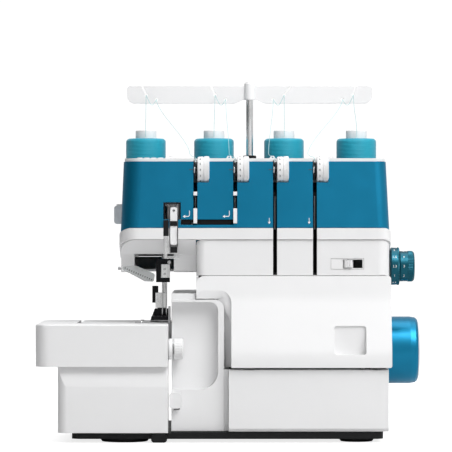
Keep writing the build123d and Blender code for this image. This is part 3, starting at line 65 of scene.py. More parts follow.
# ---- materials ----------------------------------------------------------------------------------------
class Surface:
    """A Principled material under construction, in object coordinates."""

    def __init__(self, name, color, roughness, metallic=0.0):
        self.material = bpy.data.materials.new(name)
        self.material.use_nodes = True
        self.tree = self.material.node_tree
        self.shader = self.tree.nodes["Principled BSDF"]
        self.shader.inputs["Metallic"].default_value = metallic
        self.shader.inputs["Roughness"].default_value = roughness
        self.shader.inputs["Base Color"].default_value = (*color, 1.0)
        self.coords = self.node("ShaderNodeTexCoord").outputs["Object"]
        self.color, self.roughness = color, roughness
        self.normal = None

    def node(self, kind, **settings):
        """A new node with its properties set."""
        made = self.tree.nodes.new(kind)
        for key, value in settings.items():
            setattr(made, key, value)
        return made

    def link(self, source, target):
        """Join two sockets."""
        self.tree.links.new(source, target)

    def noise(self, scale, detail=3.0, stretch=(1.0, 1.0, 1.0)):
        """A noise value, stretched along the axes."""
        mapping = self.node("ShaderNodeMapping")
        mapping.inputs["Scale"].default_value = stretch
        texture = self.node("ShaderNodeTexNoise")
        texture.inputs["Scale"].default_value = scale
        texture.inputs["Detail"].default_value = detail
        self.link(self.coords, mapping.inputs["Vector"])
        self.link(mapping.outputs["Vector"], texture.inputs["Vector"])
        return texture.outputs["Fac"]

    def spread(self, value, low, high):
        """A value mapped from its middle range to low..high."""
        ramp = self.node("ShaderNodeMapRange")
        for name, number in (("From Min", 0.3), ("From Max", 0.7), ("To Min", low), ("To Max", high)):
            ramp.inputs[name].default_value = number
        self.link(value, ramp.inputs["Value"])
        return ramp.outputs["Result"]

    def vary_color(self, value, amount, tint=None):
        """Shift the base colour between a darker and a lighter tone."""
        mix = self.node("ShaderNodeMix", data_type="RGBA")
        dark = [channel * (1 - amount) for channel in self.color]
        light = tint or [min(channel * (1 + amount), 1.0) for channel in self.color]
        mix.inputs["A"].default_value = (*dark, 1.0)
        mix.inputs["B"].default_value = (*light, 1.0)
        self.link(self.spread(value, 0.0, 1.0), mix.inputs["Factor"])
        self.link(mix.outputs["Result"], self.shader.inputs["Base Color"])
        return self

    def vary_roughness(self, value, amount):
        """Let the roughness wander about its middle."""
        spread = self.spread(value, self.roughness - amount, self.roughness + amount)
        self.link(spread, self.shader.inputs["Roughness"])
        return self

    def soften(self, radius):
        """Round every hard edge in the shading."""
        bevel = self.node("ShaderNodeBevel", samples=4)
        bevel.inputs["Radius"].default_value = radius
        self.normal = bevel.outputs["Normal"]
        self.link(self.normal, self.shader.inputs["Normal"])
        return self

    def bump(self, value, strength, distance=0.0002):
        """Add fine relief on top of the softened edges."""
        bump = self.node("ShaderNodeBump")
        bump.inputs["Strength"].default_value = strength
        bump.inputs["Distance"].default_value = distance
        self.link(value, bump.inputs["Height"])
        if self.normal:
            self.link(self.normal, bump.inputs["Normal"])
        self.normal = bump.outputs["Normal"]
        self.link(self.normal, self.shader.inputs["Normal"])
        return self

    def coat(self, weight, roughness):
        """A clear lacquer."""
        self.shader.inputs["Coat Weight"].default_value = weight
        self.shader.inputs["Coat Roughness"].default_value = roughness
        return self


def moulded(name, color, roughness=0.38, gloss=0.5, grain=0.05):
    """Moulded plastic: fine grain, faint colour drift and softened edges."""
    surface = Surface(name, color, roughness)
    surface.shader.inputs["Specular IOR Level"].default_value = gloss
    surface.vary_color(surface.noise(9.0, 4.0), 0.012).vary_roughness(surface.noise(60.0), 0.05)
    return surface.soften(0.0006).bump(surface.noise(1800.0, 2.0), grain, 0.00008).material


def lacquered(name, color):
    """Metallic lacquer: fine flakes under a clear coat, with a slow change of tone."""
    surface = Surface(name, color, 0.34, 0.7)
    surface.vary_color(surface.noise(5200.0, 1.0), 0.16).vary_roughness(surface.noise(45.0), 0.05)
    return surface.soften(0.0006).bump(surface.noise(900.0, 2.0), 0.03, 0.00008).coat(0.1, 0.2).material


def polished(name, color, roughness=0.14):
    """Polished or ground steel with faint scratches along Z."""
    surface = Surface(name, color, roughness, 1.0)
    surface.vary_color(surface.noise(80.0), 0.06)
    surface.vary_roughness(surface.noise(500.0, 3.0, (1.0, 1.0, 0.06)), roughness * 0.5)
    return surface.soften(0.0003).bump(surface.noise(1500.0, 2.0, (1.0, 1.0, 0.04)), 0.05, 0.00005).material


def cast(name, color):
    """Bare die casting with a sandy skin."""
    surface = Surface(name, color, 0.5, 0.8)
    surface.vary_color(surface.noise(30.0, 6.0), 0.12).vary_roughness(surface.noise(120.0), 0.1)
    return surface.soften(0.0005).bump(surface.noise(700.0, 5.0), 0.25, 0.0002).material


def rubbery(name, color):
    """Matt rubber with a dusty skin."""
    surface = Surface(name, color, 0.78)
    surface.vary_color(surface.noise(50.0, 6.0), 0.25).vary_roughness(surface.noise(90.0), 0.08)
    return surface.soften(0.0005).bump(surface.noise(1300.0, 3.0), 0.2, 0.0001).material


def clear(name, color):
    """Slightly hazy clear plastic."""
    surface = Surface(name, color, 0.22)
    surface.shader.inputs["Transmission Weight"].default_value = 0.65
    surface.shader.inputs["IOR"].default_value = 1.45
    surface.vary_roughness(surface.noise(70.0), 0.07)
    return surface.soften(0.0003).bump(surface.noise(700.0), 0.05, 0.0001).material


def spun(name, color, lift):
    """Sewing thread: fine twisted filaments, with a soft sheen."""
    surface = Surface(name, color, 0.55)
    surface.vary_color(surface.noise(2600.0, 2.0, (1.0, 1.0, 3.0)), 0.16, lift)
    surface.shader.inputs["Sheen Weight"].default_value = 0.35
    surface.shader.inputs["Sheen Roughness"].default_value = 0.4
    return surface.bump(surface.noise(3000.0, 2.0, (0.4, 0.4, 2.5)), 0.35, 0.0001).material


def ink(name, color):
    """Printed ink, a little uneven."""
    surface = Surface(name, color, 0.5)
    surface.vary_color(surface.noise(400.0), 0.05)
    return surface.bump(surface.noise(2500.0), 0.05, 0.00005).material


WHITE = moulded("white_shell", (0.84, 0.84, 0.845))
TEAL = lacquered("teal_shell", (0.0, 0.205, 0.375))
DIAL = lacquered("dial_teal", (0.001, 0.095, 0.14))
BLACK = moulded("black_plastic", (0.006, 0.006, 0.007), 0.5, 0.25)
RUBBER = rubbery("black_rubber", (0.018, 0.018, 0.018))
CAST = cast("cast_frame", (0.42, 0.43, 0.44))
CHROME = polished("polished_steel", (0.95, 0.95, 0.955), 0.26)
STEEL = polished("ground_steel", (0.55, 0.55, 0.56), 0.3)
DARK_STEEL = polished("black_steel", (0.022, 0.022, 0.024), 0.35)
CLEAR = clear("clear_plastic", (0.72, 0.74, 0.74))
GREY = moulded("grey_plastic", (0.58, 0.58, 0.58), 0.42)
THREAD = spun("thread", (0.0, 0.30, 0.44), (0.01, 0.42, 0.56))
PALE_THREAD = spun("loose_thread", (0.30, 0.60, 0.62), (0.45, 0.74, 0.75))
PRINT_WHITE = ink("print_white", (0.85, 0.85, 0.85))
PRINT_DARK = ink("print_dark", (0.05, 0.05, 0.05))

SLOT_MATERIALS = {
    "white_shell": WHITE, "teal_shell": TEAL, "dial_teal": DIAL, "black_plastic": BLACK,
    "black_rubber": RUBBER, "cast_frame": CAST, "polished_steel": CHROME, "ground_steel": STEEL,
    "black_steel": DARK_STEEL, "clear_plastic": CLEAR, "grey_plastic": GREY, "thread": THREAD,
    "loose_thread": PALE_THREAD,
}
for part in frame["record"]["subparts"]:
    for holder in NODES[part["node"]].material_slots:
        holder.material = SLOT_MATERIALS[part["material_slot"]]


# ---- geometry -----------------------------------------------------------------------------------------
FACING_FRONT = Matrix.Rotation(math.radians(90), 4, "X")  # a flat shape's X and Y become X and Z
FACING_BACK = Matrix.Rotation(math.radians(180), 4, "Z") @ FACING_FRONT
ALONG_X = Matrix.Rotation(math.radians(90), 4, "Y")  # a shape's own Z becomes X


class Piece:
    """Mesh geometry gathered under one name, in metres."""

    def __init__(self, name, material, body, slot):
        self.name, self.material, self.body, self.slot = name, material, body, slot
        self.mesh = bmesh.new()

    def grid(self, rows, close_rows=True, close_ends=True):
        """Quads between rings of points; each ring closes on itself."""
        rings = [[self.mesh.verts.new(point) for point in row] for row in rows]
        for low, high in zip(rings, rings[1:]):
            count = len(low)
            for index in range(count if close_rows else count - 1):
                after = (index + 1) % count
                self.mesh.faces.new((low[index], low[after], high[after], high[index]))
        if close_ends:
            self.mesh.faces.new(reversed(rings[0]))
            self.mesh.faces.new(rings[-1])

    def prism(self, corners, matrix, depth):
        """A flat outline given depth along the matrix's Z."""
        rows = [[matrix @ Vector((x, y, level)) for x, y in corners] for level in (0.0, depth)]
        self.grid(rows)

    def lathe(self, profile, matrix, segments=40, ribs=0, rib_depth=0.0):
        """(radius, height) points turned about the matrix's Z, with lengthwise ribs if wanted."""
        rows = []
        for radius, level in profile:
            row = []
            for index in range(segments):
                turn = math.tau * index / segments
                reach = radius - rib_depth * (0.5 - 0.5 * math.cos(ribs * turn)) if ribs else radius
                row.append(matrix @ Vector((reach * math.cos(turn), reach * math.sin(turn), level)))
            rows.append(row)
        self.grid(rows)

    def text(self, words, size, place):
        """Generic figures, centred; place turns (across, up, lift) into a point."""
        curve = bpy.data.curves.new("figures", "FONT")
        curve.body, curve.size, curve.extrude = words, size, INK_DEPTH
        curve.align_x, curve.align_y = "CENTER", "CENTER"
        holder = bpy.data.objects.new("figures", curve)
        mesh = bpy.data.meshes.new_from_object(holder)
        for corner in mesh.vertices:
            corner.co = place(corner.co.x, corner.co.y, corner.co.z)
        self.mesh.from_mesh(mesh)
        bpy.data.objects.remove(holder)
        bpy.data.meshes.remove(mesh)
        bpy.data.curves.remove(curve)

    def tube(self, points, radius, sides=8):
        """A round tube along a smooth curve through control points."""
        curve = bpy.data.curves.new("route", "CURVE")
        curve.dimensions, curve.resolution_u = "3D", 6
        spline = curve.splines.new("NURBS")
        spline.points.add(len(points) - 1)
        for target, point in zip(spline.points, points):
            target.co = (*point, 1.0)
        spline.order_u = 3
        spline.use_endpoint_u = True
        holder = bpy.data.objects.new("route", curve)
        curve.bevel_depth, curve.bevel_resolution, curve.use_fill_caps = radius, max(sides // 4 - 1, 0), True
        mesh = bpy.data.meshes.new_from_object(holder)
        self.mesh.from_mesh(mesh)
        bpy.data.objects.remove(holder)
        bpy.data.meshes.remove(mesh)
        bpy.data.curves.remove(curve)

    def done(self, bevel=0.0, smooth=True, replaces=(), ride=True):
        """Turn the geometry into an object that rides on its body."""
        bmesh.ops.remove_doubles(self.mesh, verts=self.mesh.verts, dist=1e-7)
        bmesh.ops.recalc_face_normals(self.mesh, faces=self.mesh.faces)
        data = bpy.data.meshes.new(self.name)
        self.mesh.to_mesh(data)
        self.mesh.free()
        data.materials.append(self.material)
        made = bpy.data.objects.new(self.name, data)
        bpy.context.scene.collection.objects.link(made)
        if bevel:
            edge = made.modifiers.new("bevel", "BEVEL")
            edge.width, edge.segments, edge.limit_method = bevel, 2, "ANGLE"
        if smooth:
            for face in data.polygons:
                face.use_smooth = True
            data.set_sharp_from_angle(angle=math.radians(40))
        if ride:
            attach(made, self.body)
        if replaces:
            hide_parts(*replaces)
        return made


def at(x, y, z):
    """A shift given in metres."""
    return Matrix.Translation((x, y, z))


def middle(node):
    """Middle of a CAD node's box."""
    low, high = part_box(node)
    return (Vector(low) + Vector(high)) / 2


def box_outline(x, y):
    """Corners of a rectangle from two spans."""
    return [(x[0], y[0]), (x[1], y[0]), (x[1], y[1]), (x[0], y[1])]


def mm_outline(x, y):
    """Corners of a rectangle from two spans in millimetres."""
    return [(across * MM, up * MM) for across, up in box_outline(x, y)]


# ---- thread path --------------------------------------------------------------------------------------
DIALS = [f"tension_dial_{number}" for number in range(1, 5)]
SLOT_TO_DIAL = 2.2 * MM  # from a slot's middle to its dial's left face
SLOT_MIDDLES = [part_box(dial)[0][0] - SLOT_TO_DIAL for dial in DIALS]
COVER_LOW, COVER_HIGH = (0.2158, -0.127), (0.2826, -0.118)  # (Z, Y) of the cover's face, foot and top
DECK_TOP = 286.8 * MM
THREAD_GUIDE_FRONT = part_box("thread_guide")[0][1]


def cover_face(z):
    """Y of the tension cover's front at a height."""
    share = (z - COVER_LOW[0]) / (COVER_HIGH[0] - COVER_LOW[0])
    return COVER_LOW[1] + max(share, 0.0) * (COVER_HIGH[1] - COVER_LOW[1])


def wound_spools():
    """Thread cross-wound on the four tubes, with crossing ridges and rounded ends."""
    low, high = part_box("thread_windings")
    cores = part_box("spool_cores")
    radius = (high[1] - low[1]) / 2
    core_radius, rounding, pitch, ridge = 11.3 * MM, 4.5 * MM, 1.45 * MM, 0.22 * MM
    segments, rings = 80, 210
    first, last = low[0] + radius, high[0] - radius
    y = (cores[0][1] + cores[1][1]) / 2
    places = [first] + [spool_x(index) for index in (1, 2)] + [last]
    for number, x in enumerate(places, 1):
        wound = Piece(f"wound_thread_{number}", THREAD, "body", "thread")
        rows = [ring_points(x, y, core_radius, low[2] + 0.2 * MM, segments)]
        for step in range(rings):
            z = low[2] + 0.3 * MM + (high[2] - low[2] - 0.6 * MM) * step / (rings - 1)
            edge = max(rounding - min(z - low[2], high[2] - z), 0.0) / rounding
            row = []
            for index in range(segments):
                turn = math.tau * index / segments
                phase = math.tau * z / pitch
                crossing = max(math.cos(phase + turn), math.cos(phase - 2 * turn))
                reach = radius - 3.4 * MM * edge ** 3 + ridge * (crossing - 1.0)
                row.append((x + reach * math.cos(turn), y + reach * math.sin(turn), z))
            rows.append(row)
        rows.append(ring_points(x, y, core_radius, high[2] - 0.2 * MM, segments))
        wound.grid(rows, close_ends=False)
        made = wound.done(replaces=("thread_windings",) if number == 1 else ())
        made.data.set_sharp_from_angle(angle=math.radians(85))


def spool_x(index):
    """X of a middle spool, worked out from the overall spread of the four."""
    low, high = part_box("spool_cores")
    share = (0.0, 0.3235, 0.6563, 1.0)[index]
    flange = 13.25 * MM
    return low[0] + flange + (high[0] - low[0] - 2 * flange) * share


def ring_points(x, y, radius, z, segments):
    """A level circle of points."""
    turns = [math.tau * index / segments for index in range(segments)]
    return [(x + radius * math.cos(turn), y + radius * math.sin(turn), z) for turn in turns]


HOOK_X, HOOK_Z = (-90.8, -16.4, 58.2, 132.9), 359.0 * MM
EYE_X, EYE_Z = (-79.6, -4.9, 46.5, 121.0), 354.1 * MM


def threads():
    """Fine threads: spool to open slot, a loop to the guide's eye, eye to deck, deck to dial."""
    front_y, spool_top, radius = THREAD_GUIDE_FRONT - 0.9 * MM, 313.8 * MM, 0.24 * MM
    rise = Piece("spool_thread_lines", PALE_THREAD, "body", "loose_thread")
    loops = Piece("guide_thread_loops", PALE_THREAD, "thread_stand", "loose_thread")
    fall = Piece("deck_thread_lines", PALE_THREAD, "body", "loose_thread")
    last = Piece("slot_thread_lines", PALE_THREAD, "body", "loose_thread")
    spools = [spool_x(index) for index in range(4)]
    for spool, hook_mm, eye_mm, slot in zip(spools, HOOK_X, EYE_X, SLOT_MIDDLES):
        hook, eye = hook_mm * MM, eye_mm * MM
        side = 1 if eye > hook else -1
        spool_y = middle("spool_cores")[1] - 13.2 * MM
        rise.tube([(spool, spool_y, spool_top), (spool, spool_y - 1 * MM, spool_top + 12 * MM),
                   (hook, front_y + 0.3 * MM, HOOK_Z - 10 * MM), (hook, front_y, HOOK_Z)], radius)
        loops.tube([(hook, front_y, HOOK_Z),
                    (hook + side * 2.5 * MM, front_y - 0.8 * MM, HOOK_Z - 6 * MM),
                    (hook + side * 6 * MM, front_y - 1.2 * MM, HOOK_Z - 12 * MM),
                    (eye - side * 2.5 * MM, front_y - 0.8 * MM, EYE_Z - 5 * MM),
                    (eye, front_y, EYE_Z)], radius)
        guide = (slot - 6.0 * MM, -80.5 * MM, DECK_TOP + 4.3 * MM)
        fall.tube([(eye, front_y, EYE_Z), (eye, front_y - 1 * MM, EYE_Z - 8 * MM),
                   (guide[0], guide[1] + 2 * MM, guide[2] + 8 * MM), guide], radius)
        last.tube([guide, (slot - 4 * MM, -92 * MM, DECK_TOP + 1.4 * MM),
                   (slot, -101 * MM, DECK_TOP + 0.8 * MM),
                   (slot, -107 * MM, DECK_TOP - 1.5 * MM), (slot, -109 * MM, DECK_TOP - 14 * MM)], radius)
    for piece, node, low_z, high_z in ((rise, "spool_threads", spool_top, HOOK_Z),
                                       (fall, "needle_threads", DECK_TOP + 4.3 * MM, EYE_Z)):
        made = piece.done(replaces=(node,), ride=False)
        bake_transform(made)
    loops.done()
    last.done()


def rim_place(center_x, center, radius, turn):
    """Wraps flat figures round a rim whose axis lies along X; turn 0 faces the front."""
    def place(across, up, lift):
        angle = turn + up / radius
        reach = radius + INK_LIFT + lift
        return (center_x + across, center[1] - reach * math.cos(angle), center[2] + reach * math.sin(angle))
    return place


def dial_details():
    """Printed scale on the left half of each tension dial and fine ribs on its right half."""
    for number, node in enumerate(DIALS, 1):
        low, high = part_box(node)
        center, radius = middle(node), (high[2] - low[2]) / 2
        ribs = Piece(f"dial_{number}_knurl", WHITE, f"dial_{number}", "white_shell")
        start, length = low[0] + 6.7 * MM, 5.2 * MM
        profile = [(radius - 1.0 * MM, 0.0), (radius + 0.25 * MM, 0.4 * MM),
                   (radius + 0.25 * MM, length - 0.6 * MM), (radius - 0.8 * MM, length)]
        ribs.lathe(profile, at(start, center[1], center[2]) @ ALONG_X, 288, 72, 0.5 * MM)
        ribs.done()
        scale = Piece(f"dial_{number}_scale", PRINT_DARK, f"dial_{number}", "black_plastic")
        for figure in range(10):
            turn = math.radians(26 * (figure - 4))
            scale.text(str(figure), 3.4 * MM, rim_place(low[0] + 2.8 * MM, center, radius, turn))
        scale.done(smooth=False)


def side_dial_details():
    """Printed figures and grip ribs on the two feed dials at the right."""
    for node, body, figures, step, band in (
        ("differential_feed_dial", "differential_dial", ("0.7", "1", "1.3", "1.5", "2"), 30, (7.4, 2.2)),
        ("stitch_length_dial", "stitch_dial", ("1", "2", "3", "4", "5"), 38, (8.2, 5.6)),
    ):
        low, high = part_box(node)
        center, radius = middle(node), (high[2] - low[2]) / 2
        grip = Piece(f"{body}_grip", DIAL, body, "dial_teal")
        start, length = low[0] + band[0] * MM, band[1] * MM
        profile = [(radius - 0.8 * MM, 0.0), (radius + 0.2 * MM, 0.4 * MM),
                   (radius + 0.1 * MM, length - 0.5 * MM), (radius - 0.9 * MM, length)]
        grip.lathe(profile, at(start, center[1], center[2]) @ ALONG_X, 240, 60, 0.5 * MM)
        grip.done()
        scale = Piece(f"{body}_scale", PRINT_WHITE, body, "white_shell")
        for index, figure in enumerate(figures):
            turn = math.radians(step * (index - 2))
            scale.text(figure, 3.6 * MM, rim_place(low[0] + 4.2 * MM, center, radius - 0.1 * MM, turn))
        scale.done(smooth=False)


def cover_place(x, z, proud=0.0):
    """A flat shape's matrix on the sloping face of the tension cover."""
    foot, top = 210 * MM, 277 * MM
    lean = math.atan2(cover_face(foot) - cover_face(top), top - foot)
    return at(x, cover_face(z) - proud, z) @ Matrix.Rotation(lean, 4, "X") @ FACING_FRONT


def slot_details():
    """Guide rods, white thread guides and the printed marks beside the four slots."""
    rods = Piece("slot_rods", GREY, "body", "grey_plastic")
    guides = Piece("slot_guides", WHITE, "body", "white_shell")
    shines = Piece("disc_edges", CHROME, "body", "polished_steel")
    dashes = Piece("index_marks", PRINT_DARK, "body", "black_plastic")
    arrows = Piece("thread_arrows", PRINT_WHITE, "body", "white_shell")
    for index, x in enumerate(SLOT_MIDDLES):
        short = index < 2
        low, high = (235.2, 247.8) if short else (214.0, 250.0)
        rods.lathe([(0.8 * MM, low * MM), (0.8 * MM, high * MM)], at(x, -113.2 * MM, 0), 20)
        tip = [(-0.9 * MM, 0), (1.8 * MM, 0), (1.8 * MM, -3.0 * MM), (0.4 * MM, -3.0 * MM)]
        guides.prism(tip, at(x, -112.5 * MM, 283.4 * MM) @ FACING_FRONT, 3 * MM)
        shines.prism(mm_outline((-1.5, -0.5), (-3.0, 3.0)), cover_place(x, 273.8 * MM, -0.8 * MM), 3 * MM)
        for foot, top in ((248.0, 251.8), (219.9, 235.0)) if short else ():
            plate = mm_outline((-1.9, 1.9), ((foot - top) / 2, (top - foot) / 2))
            guides.prism(plate, cover_place(x, (foot + top) / 2 * MM, -0.1 * MM), 3 * MM)
        mark_z = middle(DIALS[index])[2] + 0.5 * MM
        dashes.prism(mm_outline((-6.3, -2.6), (-0.3, 0.3)), cover_place(x, mark_z, 0.1 * MM), 0.2 * MM)
        arrow_z = (229.0 if short else 222.6) * MM
        for corners in ARROWS[0 if short else 1]:
            outline = [(across * MM, up * MM) for across, up in corners]
            arrows.prism(outline, cover_place(x, arrow_z, 0.12 * MM), 0.22 * MM)
    for piece in (rods, guides, shines):
        piece.done(bevel=0.2 * MM)
    dashes.done(smooth=False)
    arrows.done(smooth=False)


ARROWS = (  # in millimetres: a stem, its bend and a head to the left; a stem and a head down
    (box_outline((-6.2, -5.5), (-0.6, 4.0)),
     [(-6.2, -0.6), (-5.5, -0.6), (-6.6, -2.2), (-10.2, -2.2), (-10.2, -1.5), (-7.0, -1.5)],
     [(-10.2, -0.3), (-12.7, -1.9), (-10.2, -3.4)]),
    (box_outline((-6.1, -5.5), (-1.2, 3.0)), [(-7.2, -0.9), (-5.8, -3.2), (-4.4, -0.9)]),
)


# ---- head, controls and fixings -----------------------------------------------------------------------
def screw(piece, matrix, radius):
    """A domed screw head with a cross recess: two crossed slots between raised quarters."""
    piece.lathe([(radius, 0.0), (radius, radius * 0.3), (radius * 0.82, radius * 0.52)], matrix, 28)
    for quarter in range(4):
        turn = Matrix.Rotation(math.radians(90 * quarter), 4, "Z")
        near, far = radius * 0.12, radius * 0.56
        piece.prism([(near, near), (far, near), (far * 0.72, far * 0.72), (near, far)],
                    matrix @ turn @ at(0, 0, radius * 0.5), radius * 0.2)


def screws():
    """Screws in the clamp, the needle plate and the back of the casing."""
    clamp = middle("needle_clamp")
    clamp_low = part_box("needle_clamp")[0]
    set_screws = Piece("clamp_screws", CHROME, "needle_drive", "polished_steel")
    set_screw_place = at(clamp[0] + 6.4 * MM, clamp_low[1] + 3.6 * MM, clamp[2] + 8.4 * MM)
    screw(set_screws, set_screw_place @ FACING_FRONT, 2.1 * MM)
    set_screws.done()
    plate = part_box("needle_plate")
    plate_screws = Piece("plate_screws", CHROME, "body", "polished_steel")
    for y in (plate[0][1] + 5 * MM, plate[1][1] - 5 * MM):
        screw(plate_screws, at(plate[0][0] + 6 * MM, y, plate[1][2] - 0.9 * MM), 2.6 * MM)
    plate_screws.done()
    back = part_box("lower_casing")[1][1]
    back_screws = Piece("back_screws", STEEL, "body", "ground_steel")
    for x, z in ((-40, 30), (132, 30), (-40, 134), (146, 134), (140, 200), (-20, 200)):
        screw(back_screws, at(x * MM, back - 0.2 * MM, z * MM) @ FACING_BACK, 3.2 * MM)
    back_screws.done()


def head_details():
    """Painted shade: black sheets for the dark gaps about the take-up lever, needle clamp and release lever;
    and bright plates there.
    """
    lever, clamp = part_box("take_up_lever"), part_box("needle_clamp")
    # Painted shade: black bands across the take-up lever's front stand in for the shaded gaps at its top and
    # bottom.
    dark = Piece("take_up_gap_shade", BLACK, "take_up", "black_plastic")
    front = at(0, lever[0][1] - 0.1 * MM, 0) @ FACING_FRONT
    for low, high in ((217.5, 222.5), (190.5, 196.5)):
        dark.prism(box_outline((lever[0][0], lever[1][0]), (low * MM, high * MM)), front, 0.4 * MM)
    dark.done()
    band = at(0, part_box("trim_band")[0][1] + 0.3 * MM, 0) @ FACING_FRONT
    # Painted shade: a black strip on the band above the needle strips stands in for the shaded gap there.
    needle_shade = Piece("needle_gap_shade", BLACK, "body", "black_plastic")
    needle_shade.prism(mm_outline((-67.6, -62.2), (207.4, 223.6)), band, 0.5 * MM)
    needle_shade.done()
    strips = Piece("needle_strips", CHROME, "body", "polished_steel")
    for span in ((-67.4, -65.2), (-64.8, -62.4)):
        strips.prism(mm_outline(span, (204.0, 207.4)), band, 0.4 * MM)
    strips.done()
    plate = Piece("clamp_plate", CHROME, "needle_drive", "polished_steel")
    plate_face = mm_outline((-70.8, -61.6), (164.7, 178.6))
    plate.prism(plate_face, at(0, clamp[0][1] - 0.8 * MM, 0) @ FACING_FRONT, 1.0 * MM)
    plate.done(bevel=0.3 * MM)
    pins = Piece("clamp_pins", BLACK, "needle_drive", "black_plastic")
    for z in (173.5, 168.6):
        screw(pins, at(-67.2 * MM, clamp[0][1] - 0.7 * MM, z * MM) @ FACING_FRONT, 1.9 * MM)
    pins.done()
    # Painted shade: an L of thin black sheet on the release lever's front stands in for the shaded gap about
    # it.
    release = Piece("release_lever_gap_shade", BLACK, "presser", "black_plastic")
    for across, up in (((-80.4, -74.2), (149.0, 156.0)), ((-80.4, -77.0), (138.6, 149.0))):
        release.prism(mm_outline(across, up), at(0, -63.9 * MM, 0) @ FACING_FRONT, 0.3 * MM)
    release.done()


def guard_ridges():
    """Grip ridges along the slanted lower edge of the needle guard."""
    guard_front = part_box("needle_guard")[0][1]
    ridges = Piece("guard_ridges", BLACK, "body", "black_plastic")
    count, start, end = 13, Vector((-107.0, 0, 174.2)) * MM, Vector((-80.0, 0, 162.6)) * MM
    for index in range(count):
        spot = start.lerp(end, index / (count - 1))
        slant = Matrix.Rotation(math.radians(23), 4, "Y")
        place = at(spot.x, guard_front + 0.2 * MM, spot.z) @ slant @ FACING_FRONT
        ridges.prism(mm_outline((-0.4, 0.4), (-0.2, 1.4)), place, 0.6 * MM)
    ridges.done(bevel=0.2 * MM)


def switch_frame():
    """Raised frame round the slider switch."""
    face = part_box("middle_casing")[0][1]
    frame_piece = Piece("switch_frame", GREY, "body", "grey_plastic")
    x, z, line = (101.0 * MM, 134.6 * MM), (173.8 * MM, 184.8 * MM), 0.45 * MM
    for spans in (((x[0], x[1]), (z[0], z[0] + line)), ((x[0], x[1]), (z[1] - line, z[1])),
                  ((x[0], x[0] + line), z), ((x[1] - line, x[1]), z)):
        frame_piece.prism(box_outline(*spans), at(0, face + 0.1 * MM, 0) @ FACING_FRONT, 0.35 * MM)
    frame_piece.done(bevel=0.1 * MM)


def stand_details():
    """Grip rings on the stand's collar and a cushion ring under each spool."""
    center, collar_top = middle("stand_outer_tube"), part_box("stand_outer_tube")[1][2]
    collar = Piece("stand_collar_ribs", BLACK, "body", "black_plastic")
    collar.lathe([(6.6 * MM, -4.2 * MM), (7.1 * MM, -3.6 * MM), (7.1 * MM, -0.8 * MM), (6.4 * MM, 0.1 * MM)],
                 at(center[0], center[1], collar_top), 96, 24, 0.5 * MM)
    collar.done()
    cushions = Piece("spool_cushions", GREY, "body", "grey_plastic")
    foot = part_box("spool_cores")[0][2] - 0.2 * MM
    y = middle("spool_cores")[1]
    rings = [(13.4 * MM, 0.0), (17.6 * MM, 0.0), (18.0 * MM, 0.8 * MM), (17.4 * MM, 1.5 * MM),
             (13.6 * MM, 1.5 * MM)]
    for index in range(4):
        cushions.lathe(rings, at(spool_x(index), y, foot), 64, 32, 0.25 * MM)
    cushions.done()


wound_spools()
threads()
dial_details()
side_dial_details()
slot_details()
screws()
head_details()
guard_ridges()
switch_frame()
stand_details()


# ---- studio -------------------------------------------------------------------------------------------
CAMERA_AT = (-0.00455, -3.15, 0.2175)
SENSOR, VIEW_WIDTH, VIEW_DISTANCE = 36.0, 0.452, 3.0


def camera():
    """A long lens level with the middle of the machine."""
    data = bpy.data.cameras.new("camera")
    data.sensor_width = SENSOR
    data.lens = SENSOR * VIEW_DISTANCE / VIEW_WIDTH
    data.clip_end = 60.0
    made = bpy.data.objects.new("camera", data)
    made.location = CAMERA_AT
    made.rotation_euler = (math.radians(90), 0, 0)
    bpy.context.scene.collection.objects.link(made)
    bpy.context.scene.camera = made


def area_light(name, place, target, size, power, color=(1.0, 1.0, 1.0)):
    """A large soft light aimed at a point."""
    data = bpy.data.lights.new(name, "AREA")
    data.shape, data.size, data.size_y = "RECTANGLE", size[0], size[1]
    data.energy, data.color = power, color
    made = bpy.data.objects.new(name, data)
    made.location = place
    made.rotation_euler = (Vector(target) - Vector(place)).to_track_quat("-Z", "Y").to_euler()
    bpy.context.scene.collection.objects.link(made)


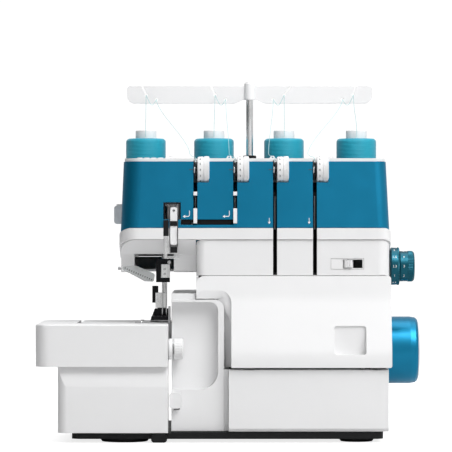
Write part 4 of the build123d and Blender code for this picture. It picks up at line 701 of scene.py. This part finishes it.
def pale_world():
    """A white surround that lights the machine more from the right and from above than from the left."""
    world = bpy.data.worlds.new("world")
    bpy.context.scene.world = world
    world.use_nodes = True
    tree = world.node_tree
    background = tree.nodes["Background"]
    background.inputs["Color"].default_value = (1.0, 1.0, 1.0, 1.0)
    coords = tree.nodes.new("ShaderNodeTexCoord")
    axes = tree.nodes.new("ShaderNodeSeparateXYZ")
    side = tree.nodes.new("ShaderNodeMapRange")
    for name, number in (("From Min", -0.9), ("From Max", 0.1), ("To Min", 0.06), ("To Max", 0.62)):
        side.inputs[name].default_value = number
    seen = tree.nodes.new("ShaderNodeLightPath")
    choose = tree.nodes.new("ShaderNodeMix")
    choose.inputs["B"].default_value = 1.05
    tree.links.new(coords.outputs["Generated"], axes.inputs["Vector"])
    tree.links.new(axes.outputs["X"], side.inputs["Value"])
    tree.links.new(side.outputs["Result"], choose.inputs["A"])
    tree.links.new(seen.outputs["Is Camera Ray"], choose.inputs["Factor"])
    tree.links.new(choose.outputs["Result"], background.inputs["Strength"])


def pale_floor():
    """A wide white floor that keeps a soft contact shadow."""
    bpy.ops.mesh.primitive_grid_add(x_subdivisions=8, y_subdivisions=8, size=60.0)
    floor = bpy.context.object
    floor.name = "floor"
    surface = Surface("floor_paper", (0.62, 0.62, 0.62), 0.9)
    surface.vary_color(surface.noise(2.0), 0.01)
    surface.shader.inputs["Specular IOR Level"].default_value = 0.0
    surface.shader.inputs["Emission Color"].default_value = (1.0, 1.0, 1.0, 1.0)
    seen = surface.node("ShaderNodeLightPath")
    glow = surface.node("ShaderNodeMapRange")
    glow.inputs["To Max"].default_value = 0.8
    surface.link(seen.outputs["Is Camera Ray"], glow.inputs["Value"])
    surface.link(glow.outputs["Result"], surface.shader.inputs["Emission Strength"])
    floor.data.materials.append(surface.bump(surface.noise(300.0), 0.03).material)


camera()
pale_world()
pale_floor()
TARGET = (0.0, 0.0, 0.2)
area_light("key", (0.8, -1.1, 1.6), TARGET, (1.1, 1.1), 26.0)
area_light("top", (0.1, 0.0, 1.9), TARGET, (1.6, 1.2), 12.0)
area_light("rim", (-1.4, 1.0, 1.2), TARGET, (0.9, 1.2), 4.0)
bpy.context.scene.view_settings.view_transform = "Standard"
